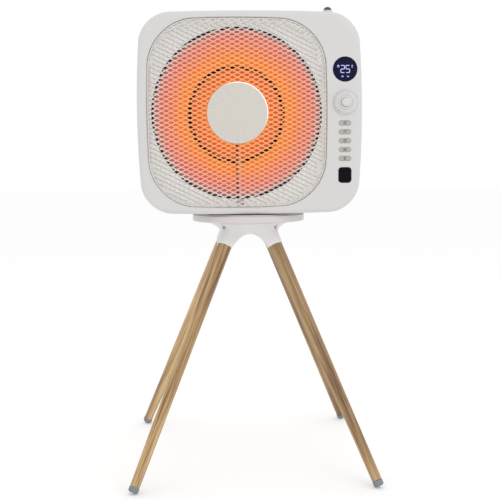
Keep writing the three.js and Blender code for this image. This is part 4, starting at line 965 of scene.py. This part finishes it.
collar = {"bore": 7.1, "wall": 1.5, "height": 5.5}
outer = collar["bore"] + collar["wall"]
deck = casingTop - 3.0
collarTop = deck + 3.0 + collar["height"]
profile = [(collar["bore"], deck - 1), (outer + 1.2, deck - 1), (outer + 0.4, deck + 1.8)]
profile += [(outer, deck + 3.0), (outer - 0.1, collarTop - 0.6), (outer - 0.5, collarTop)]
profile += [(collar["bore"], collarTop), (collar["bore"], deck - 1)]
gridPiece("button_collar", turned(profile, 40, (buttonAt[0], buttonAt[1], 0)), "head",
          finishes["casing"])
say("casing")


weave = {"pitchX": 7.75, "pitchZ": 7.65, "holeX": 4.8, "holeZ": 2.4, "power": 1.45, "sheet": 0.9}
weave |= {"crown": 11.0, "roundness": 3.8, "inset": 2.0, "shadeEdge": 0.965}
meshEdgeY = frontY + 2.0


def pillow(x, z):
    # y = edge - crown sqrt(1 - s^4), where s^n = u^n + v^n with n the roundness, and u and v are
    # how far x and z lie from the middle as shares of half the opening
    u = np.abs(x - dishMiddle[0]) / (opening["width"] / 2)
    v = np.abs(z - dishMiddle[2]) / (opening["height"] / 2)
    share = (u ** weave["roundness"] + v ** weave["roundness"]) ** (1 / weave["roundness"])
    return meshEdgeY - weave["crown"] * np.sqrt(np.clip(1 - share ** 4, 0, 1))


def outlineReach(grow):  # distance from the centre to the outline, for any angle
    outline = bowedOutline(opening, grow, 40, 30)
    angle = np.arctan2(outline[:, 1], outline[:, 0])
    order = np.argsort(angle)
    reach = np.hypot(outline[:, 0], outline[:, 1])[order]
    return lambda a: np.interp(a, angle[order], reach, period=2 * np.pi)


def meshSheet():
    # a staggered lattice of rhombic cells, each with a rounded diamond hole |x|^p + |z|^p = 1, made as
    # three rings that go from the rhomb to the hole
    columns = int(opening["width"] / weave["pitchX"] / 2) + 2
    rows = int(opening["height"] / weave["pitchZ"] / 2) + 2
    column, row = np.meshgrid(np.arange(-columns, columns + 1), np.arange(-rows, rows + 1))
    centreX = (column * weave["pitchX"]).ravel()
    centreZ = ((row + (column % 2) * 0.5) * weave["pitchZ"]).ravel()
    reachOf = outlineReach(-weave["inset"])
    inside = np.hypot(centreX, centreZ) < reachOf(np.arctan2(centreZ, centreX)) + 1.0
    centreX, centreZ = centreX[inside][:, None], centreZ[inside][:, None]
    angle = np.arange(8) * np.pi / 4
    cornerX = np.array([1, 0.5, 0, -0.5, -1, -0.5, 0, 0.5]) * weave["pitchX"]
    cornerZ = np.array([0, 0.5, 1, 0.5, 0, -0.5, -1, -0.5]) * weave["pitchZ"] / 2
    power = weave["power"]
    bulge = (np.abs(np.cos(angle)) ** power + np.abs(np.sin(angle)) ** power) ** (-1 / power)
    holeX = np.cos(angle) * bulge * weave["holeX"]
    holeZ = np.sin(angle) * bulge * weave["holeZ"]
    rings = []
    for share, back, lean in ((0.0, 0.0, 0.0), (0.62, 0.12, 0.25), (1.0, 0.45, 0.4)):
        x = centreX + cornerX + (holeX - cornerX) * share
        z = centreZ + cornerZ + (holeZ - cornerZ) * share
        far = np.hypot(x, z) / reachOf(np.arctan2(z, x))
        squeeze = np.where(far > 1, 1 / far, 1)
        x, z = x * squeeze + dishMiddle[0], z * squeeze + dishMiddle[2]
        y = pillow(x, z) - weave["sheet"] + back + lean * np.sin(angle)
        rings.append(np.stack([x, y, z], axis=2))
    grid = np.stack(rings, axis=1)  # cell, ring, angle, xyz
    cells = len(grid)
    face = np.array(gridFaces(3, 8))
    faces = (face[None] + (np.arange(cells) * 24)[:, None, None]).reshape(-1, 4)
    # painted shade: outside the dish the edges that face down and left take the darker grilleShade finish
    edge = np.hypot(centreX, centreZ) / reachOf(np.arctan2(centreZ, centreX))
    outside = ((np.hypot(centreX, centreZ) > dishRadius - 1) & (edge < weave["shadeEdge"])).ravel()
    shaded = outside[:, None] & np.isin(np.arange(16) % 8, (4, 5))[None, :]
    return grid.reshape(-1, 3), faces.tolist(), shaded.ravel().astype(np.int32)


points, faces, shaded = meshSheet()
meshPiece = newPiece("mesh_front", points, faces, "head", finishes["grille"], ["front_grille"])
meshPiece.data.materials.append(finishes["grilleShade"].material)
meshPiece.data.materials.append(finishes["grilleEdge"].material)
meshPiece.data.polygons.foreach_set("material_index", shaded)
weld(meshPiece, 0.02, outward=False)
# the cut walls and the back take the grilleEdge finish, a painted shade
finishWith(meshPiece, "SOLIDIFY", thickness=weave["sheet"] * mm, offset=-1.0,
           material_offset=2, material_offset_rim=2)
smooth(meshPiece, 50)
print("mesh front has", len(meshPiece.data.polygons), "faces")

# a rolled edge round the mesh: half a turn in front, then straight back
rim = {"gap": 1.1, "width": 2.4, "depth": 5.0, "rise": 2.6, "round": 1.3}
rimRings = []
for angle in np.radians(np.linspace(0, 180, 9)):
    grow = -rim["gap"] - rim["width"] * (1 - np.cos(angle)) / 2
    rimRings.append(openingRing(grow, meshEdgeY - rim["rise"] - rim["round"] * np.sin(angle)))
rimRings += [openingRing(-rim["gap"] - rim["width"], meshEdgeY + 0.4)]
rimRings += [openingRing(-rim["gap"], meshEdgeY + rim["depth"]), rimRings[0]]
gridPiece("mesh_rim", np.stack(rimRings), "head", finishes["grille"])
say("mesh")

discFront, discBack = low("grille_disc")[1], high("grille_disc")[1]
discAt = (dishMiddle[0], 0, dishMiddle[2])
sheetBack = discFront + disc["sheet"]
profile = [(0.0, discBack), (disc["bore"], discBack), (disc["bore"], sheetBack)]
profile += [(discRadius - 0.5, sheetBack)]
profile += arc((discRadius - disc["round"], discFront + disc["round"]), disc["round"], 0, -90, 8)
profile += [(discRadius - disc["round"] - 0.6, discFront), (discRadius * 0.6, discFront), (0.0, discFront)]
gridPiece("centre_disc", turned(profile, 96, discAt, "Y"), "head",
          finishes["disc"], ["grille_disc"])
say("centre disc")


baffle = {"hole": dishRadius + 4.6, "lip": 2.0, "sheet": 1.5, "grow": 6.5}
# a dark ring, a painted shade behind the gap round the dish: its clearance from the dish, distance behind the
# baffle, thickness and width
baffle |= {"sealGap": 0.7, "sealBack": 2.6, "seal": 1.2, "sealWidth": 5.0}
baffleY = low("baffle_plate")[1]
outline = openingRing(baffle["grow"], baffleY)
direction = outline - np.array(discAt)
direction[:, 1] = 0
length = np.linalg.norm(direction, axis=1)[:, None]
holeUnit = direction / length


def holeRing(radius, y):  # a circle whose points face those of the opening's outline
    ring = holeUnit * radius + np.array(discAt)
    ring[:, 1] = y
    return ring


# the hole's edge rolls back into a short lip: how much wider than the hole, how far behind the face
lipSteps = [(4.0, 0.0), (1.4, 0.1), (0.4, 0.6), (0.0, 1.2), (0.0, baffle["lip"]), (0.8, baffle["lip"])]
lipSteps += [(1.0, baffle["sheet"])]
rings = [outline] + [holeRing(baffle["hole"] + more, baffleY + back) for more, back in lipSteps]
rings += [openingRing(baffle["grow"], baffleY + baffle["sheet"]), outline]
gridPiece("baffle_sheet", np.stack(rings), "head", finishes["baffle"], ["baffle_plate"])
dish = {"sheet": 0.9, "slot": 2.0, "innerRadius": 83.0, "curve": 1.25}
core = {"innerRadius": 24.5, "outerRadius": 76.0, "span": 53.0}


def slottedDish(name, node, profile, halfSlot):
    # profile turned about Y but open below the centre: the angle at radius r starts at asin(halfSlot / r)
    profile = np.array(profile, dtype=float)
    half = np.arcsin(halfSlot / profile[:, :1])
    angle = -np.pi / 2 + half + np.linspace(0, 1, 121) * (2 * np.pi - 2 * half)
    grid = np.stack([profile[:, :1] * np.cos(angle), np.broadcast_to(profile[:, 1:], angle.shape),
                     profile[:, :1] * np.sin(angle)], axis=2) + np.array(discAt)
    rows, columns, _ = grid.shape
    piece = newPiece(name, grid.reshape(-1, 3), gridFaces(rows, columns, False), "head",
                     finishes["reflector"], [node])
    finishWith(piece, "SOLIDIFY", thickness=dish["sheet"] * mm, offset=-1.0)
    return smooth(weld(piece), 45)


dishBack, dishFront = float(high("reflector_dish")[1]) - 1.2, float(low("reflector_dish")[1])
# a dark ring behind the gap between the dish and the baffle: painted shade where only shade falls
start = max(dishFront + 1.4, baffleY) + baffle["sealBack"]
end = start + baffle["seal"]
gapShadeIn, gapShadeOut = dishRadius + baffle["sealGap"], baffle["hole"] + baffle["sealWidth"]
profile = [(gapShadeIn, start), (gapShadeOut, start), (gapShadeOut, end), (gapShadeIn, end), (gapShadeIn, start)]
gridPiece("dish_gap_shade", turned(profile, 96, discAt, "Y"), "head", finishes["seal"])
# the outer dish deepens towards the middle as 1 - t^1.25, the inner one as 1 - t^2
t = np.linspace(0, 1, 14)
radius = dish["innerRadius"] + (dishRadius - 1.5 - dish["innerRadius"]) * t
profile = list(zip(radius, dishBack - (dishBack - dishFront - 0.3) * t ** dish["curve"]))
profile += [(dishRadius - 0.8, dishFront), (dishRadius, dishFront + 0.4), (dishRadius, dishFront + 1.4)]
slottedDish("outer_reflector", "reflector_dish", profile, dish["slot"])
coreFront, coreBack = float(low("reflector_core")[1]), float(high("reflector_core")[1]) - 2.0
radius = np.linspace(core["innerRadius"], core["outerRadius"], 12)
depth = (coreBack - coreFront) * ((radius - core["innerRadius"]) / core["span"]) ** 2
slottedDish("inner_reflector", "reflector_core", list(zip(radius, coreBack - depth)), dish["slot"])
say("reflector")


lens = {"rim": 1.3, "step": 0.5, "edge": 17.6, "radius": 18.0, "crown": 0.4}
lensFront, lensBack = float(low("display_lens")[1]), float(high("display_lens")[1])
lensRadius = displayWidth / 2 - 0.05
lensAt = (displayAt[0], 0, displayAt[2])
stepY = lensFront + lens["step"]
profile = [(0.0, lensBack), (lensRadius, lensBack), (lensRadius, stepY), (lensRadius - 0.3, lensFront)]
profile += [(lensRadius - lens["rim"], lensFront), (lensRadius - lens["rim"] - 0.3, stepY)]
for radius in np.linspace(lens["edge"], 0.0, 7):
    profile.append((radius, stepY - lens["crown"] * (1 - (radius / lens["radius"]) ** 2)))
gridPiece("display_dome", turned(profile, 64, lensAt, "Y"), "head",
          finishes["display"], ["display_lens"])

digit = {"width": 6.1, "height": 11.6, "stroke": 1.1, "gap": 2.4, "short": 0.35}


def segments(which, left, base):
    # seven rounded strokes named a to g, clockwise from the top, g across the middle
    w, h = digit["width"], digit["height"]
    ends = {"a": [(0, h), (w, h)], "b": [(w, h), (w, h / 2)], "c": [(w, h / 2), (w, 0)]}
    ends |= {"d": [(0, 0), (w, 0)], "e": [(0, 0), (0, h / 2)], "f": [(0, h / 2), (0, h)]}
    ends |= {"g": [(0, h / 2), (w, h / 2)]}
    lines = []
    for key in which:
        line = np.array(ends[key], dtype=float)
        step = (line[1] - line[0]) / np.linalg.norm(line[1] - line[0])
        lines.append(line + np.array([step, -step]) * digit["short"] + np.array([left, base]))
    return lines


def loop(cx, cz, radius, start=0, end=360, count=14):  # a circle or part of one, in degrees
    angle = np.radians(np.linspace(start, end, count))
    return np.stack([cx + radius * np.cos(angle), cz + radius * np.sin(angle)], axis=1)


cx, cz = displayAt[0], displayAt[2]
base = cz - digit["height"] / 2
lines = segments("abged", cx - digit["gap"] / 2 - digit["width"], base)
lines += segments("afgcd", cx + digit["gap"] / 2, base)
points, faces = ribbon(lines, digit["stroke"], lensFront + 0.02, 0.1)
newPiece("display_digits", points, faces, "head", finishes["digits"])
# plain marks round the numerals, as distances from the display's middle
marks = [loop(cx - 11.5, cz + 4.6, 1.5), [(cx - 11.5, cz + 4.6), (cx - 11.5, cz + 6.9)]]
marks += [loop(cx + 11.5, cz + 5.4, 0.8), [(cx + 10.4, cz + 2.8), (cx + 12.8, cz + 2.8)]]
marks += [[(cx - 6.5, cz - 11.6), (cx - 2.5, cz - 11.6)], [(cx + 2.5, cz - 11.6), (cx + 6.5, cz - 11.6)]]
marks += [[(cx - 5.8, cz - 12.6), (cx - 3.2, cz - 12.6)], [(cx + 3.2, cz - 12.6), (cx + 5.8, cz - 12.6)]]
points, faces = ribbon(marks, 0.7, lensFront + 0.12, 0.1)
newPiece("display_marks", points, faces, "head", finishes["digits"])

dial = {"groove": 12.6, "grooveDepth": 0.7, "neck": 9.9, "lip": 9.6, "skirt": 2.5, "drop": 0.9, "bulge": 0.9}
pointer = {"angle": 228.0, "start": 14.4, "end": 17.6, "stroke": 0.8, "depth": 1.4}
nub = {"play": 0.3, "round": 1.6, "bevel": 0.6}
knobFront, knobBack = float(low("dial_knob")[1]), float(high("dial_knob")[1])
nubFront, nubBack = float(low("power_button")[1]), float(high("power_button")[1])
knobRadius, nubRadius = span("dial_knob", 0) / 2, span("power_button", 0) / 2
knobBase = frontY - 0.5
knobAt = (dialAt[0], 0, dialAt[2])
nubHole = nubRadius + nub["play"]
# the skirt rises from the rim to the groove as sin(90 degrees * share)^0.9
share = np.linspace(0, 1, 12)
skirtBase, grooveY = knobBase - dial["skirt"], knobFront + dial["drop"] + dial["grooveDepth"]
skirt = knobRadius - 1.0 + (dial["groove"] - knobRadius + 1.0) * share
skirtY = skirtBase - (skirtBase - knobFront - dial["drop"]) * np.sin(share * np.pi / 2) ** dial["bulge"]
profile = [(nubHole, knobBack), (dial["neck"], knobBack), (dial["neck"], knobBase)]
profile += [(knobRadius - 0.4, knobBase), (knobRadius, knobBase - 0.4), (knobRadius, knobBase - 1.5)]
profile += [(knobRadius - 0.3, knobBase - 2.2)] + list(zip(skirt, skirtY))
profile += [(dial["groove"] - 0.25, grooveY), (dial["groove"] - 1.2, grooveY)]
profile += [(dial["groove"] - 1.5, knobFront + 0.55), (dial["lip"], knobFront)]
profile += [(nubHole + 0.5, knobFront), (nubHole, knobFront + 0.4), (nubHole, knobBack)]
gridPiece("dial_dome", turned(profile, 72, knobAt, "Y"), "dial", finishes["casing"], ["dial_knob"])
angle = np.radians(pointer["angle"])
reach = np.array([[pointer["start"]], [pointer["end"]]])
line = np.array([dialAt[0], dialAt[2]]) + reach * np.array([np.cos(angle), np.sin(angle)])
points, faces = ribbon([line], pointer["stroke"], knobBase - 4.2, pointer["depth"])
newPiece("dial_index", points, faces, "dial", finishes["marks"])

profile = [(0.0, nubBack), (nubRadius - nub["bevel"], nubBack), (nubRadius, nubBack - nub["bevel"])]
profile += arc((nubRadius - nub["round"], nubFront + nub["round"] + 0.3), nub["round"], 0, -80, 6)
profile += [(nubRadius - 2.6, nubFront + 0.25), (nubRadius * 0.4, nubFront + 0.05), (0.0, nubFront)]
gridPiece("power_nub", turned(profile, 48, knobAt, "Y"), "power_key",
          finishes["casing"], ["power_button"])

pill = {"flange": 1.5, "crown": 0.9, "edge": 0.7, "skirt": 0.9, "skirtHeight": 1.2}
pill |= {"mark": 0.9, "markSize": 1.5}


def crownedKey(name, node, body):
    # stacked outlines that shrink as they rise, then close on a shallow crown
    lowCorner, highCorner = low(node), high(node)
    front = float(lowCorner[1])
    width, height = (float(highCorner[i] - lowCorner[i]) - 2 * pill["flange"] for i in (0, 2))
    at = (lowCorner + highCorner) / 2
    size = rectangle(width, height, height / 2 - 0.01)
    place = lambda grow, y: ringAt(bowedOutline(size, grow, 8, 4), at, y)
    skirtTop = highCorner[1] - pill["skirtHeight"]
    rings = [place(pill["skirt"], highCorner[1]), place(pill["skirt"], skirtTop), place(0.0, skirtTop)]
    rings += [place(0.0, front + pill["crown"] + pill["edge"])]
    for angle in np.radians(np.linspace(20, 90, 5)):
        grow = -pill["edge"] * (1 - np.cos(angle))
        rings.append(place(grow, front + pill["crown"] * 0.5 + pill["edge"] * (1 - np.sin(angle))))
    last = rings[-1]
    for share in (0.7, 0.35, 0.0):
        ring = at + (last - at) * share
        ring[:, 1] = front + pill["crown"] * 0.5 * share ** 2
        rings.append(ring)
    return gridPiece(name, np.stack(rings), body, finishes["key"], [node], caps=("start",))


# plain marks for the keys: power, heat, time, fan speed and night
icons = [
    [loop(0, 0, 1.25, 120, 420), [(0, 0.2), (0, 1.9)]],
    [[(-2.0, -0.7), (-1.0, 0.5), (0.0, -0.7), (1.0, 0.5), (2.0, -0.7)], [(-1.4, 1.3), (1.4, 1.3)]],
    [loop(0, 0, 1.5), [(0, 0), (0, 1.0)], [(0, 0), (0.8, 0)]],
    [[(-1.8, 0.9), (1.8, 0.9)], [(-1.8, 0), (1.8, 0)], [(-1.8, -0.9), (1.8, -0.9)]],
    [loop(0.2, 0, 1.5, 60, 300), loop(0.9, 0, 1.2, 95, 265)],
]
for number, (node, icon) in enumerate(zip(keys, icons), 1):
    body = "mode_key_%d" % number
    crownedKey("pill_key_%d" % number, node, body)
    at = middle(node)
    lines = [np.array(line) * pill["markSize"] + np.array([at[0], at[2]]) for line in icon]
    points, faces = ribbon(lines, pill["mark"], float(low(node)[1]) + 0.12, 0.2)
    newPiece("key_mark_%d" % number, points, faces, body, finishes["marks"])

windowFront, windowBack = float(low("sensor_window")[1]), float(high("sensor_window")[1])
# outlines from the back to the front: straight sides, a rounded edge, then a face sunk a little behind it
window = {"width": 20.8, "height": 24.8, "corner": 4.9, "sunk": 0.3}
size = rectangle(window["width"], window["height"], window["corner"])
steps = [(0, windowBack), (0, windowFront + 0.5), (-0.15, windowFront + 0.15), (-0.5, windowFront)]
steps += [(-4.6, windowFront), (-4.8, windowFront + window["sunk"])]
rings = [ringAt(bowedOutline(size, grow, 8, 4), windowAt, y) for grow, y in steps]
centre = windowAt * np.array([1, 0, 1]) + np.array([0, windowFront + window["sunk"], 0])
last = rings[-1]
rings += [centre + (last - centre) * share for share in (0.5, 0.0)]
gridPiece("sensor_glass", np.stack(rings), "head", finishes["window"],
          ["sensor_window"], caps=("start",))

button = {"radius": 6.5, "flange": 1.9, "step": 2.0, "dome": 5.0}
capLow, capHigh = low("top_button"), high("top_button")
capFlange, domeBase = span("top_button", 0) / 2 - 0.1, capHigh[2] - button["dome"]
profile = [(0.0, capLow[2]), (capFlange, capLow[2]), (capFlange, capLow[2] + button["flange"])]
profile += [(button["radius"], capLow[2] + button["step"]), (button["radius"], domeBase)]
angle = np.radians(np.linspace(0, 90, 9))
profile += list(zip(button["radius"] * np.cos(angle), domeBase + button["dome"] * np.sin(angle)))
gridPiece("top_dome", turned(profile, 40, (buttonAt[0], buttonAt[1], 0)), "top_key",
          finishes["dark"], ["top_button"])
say("controls")


for node in frame["nodes"].values():
    node.data.update()
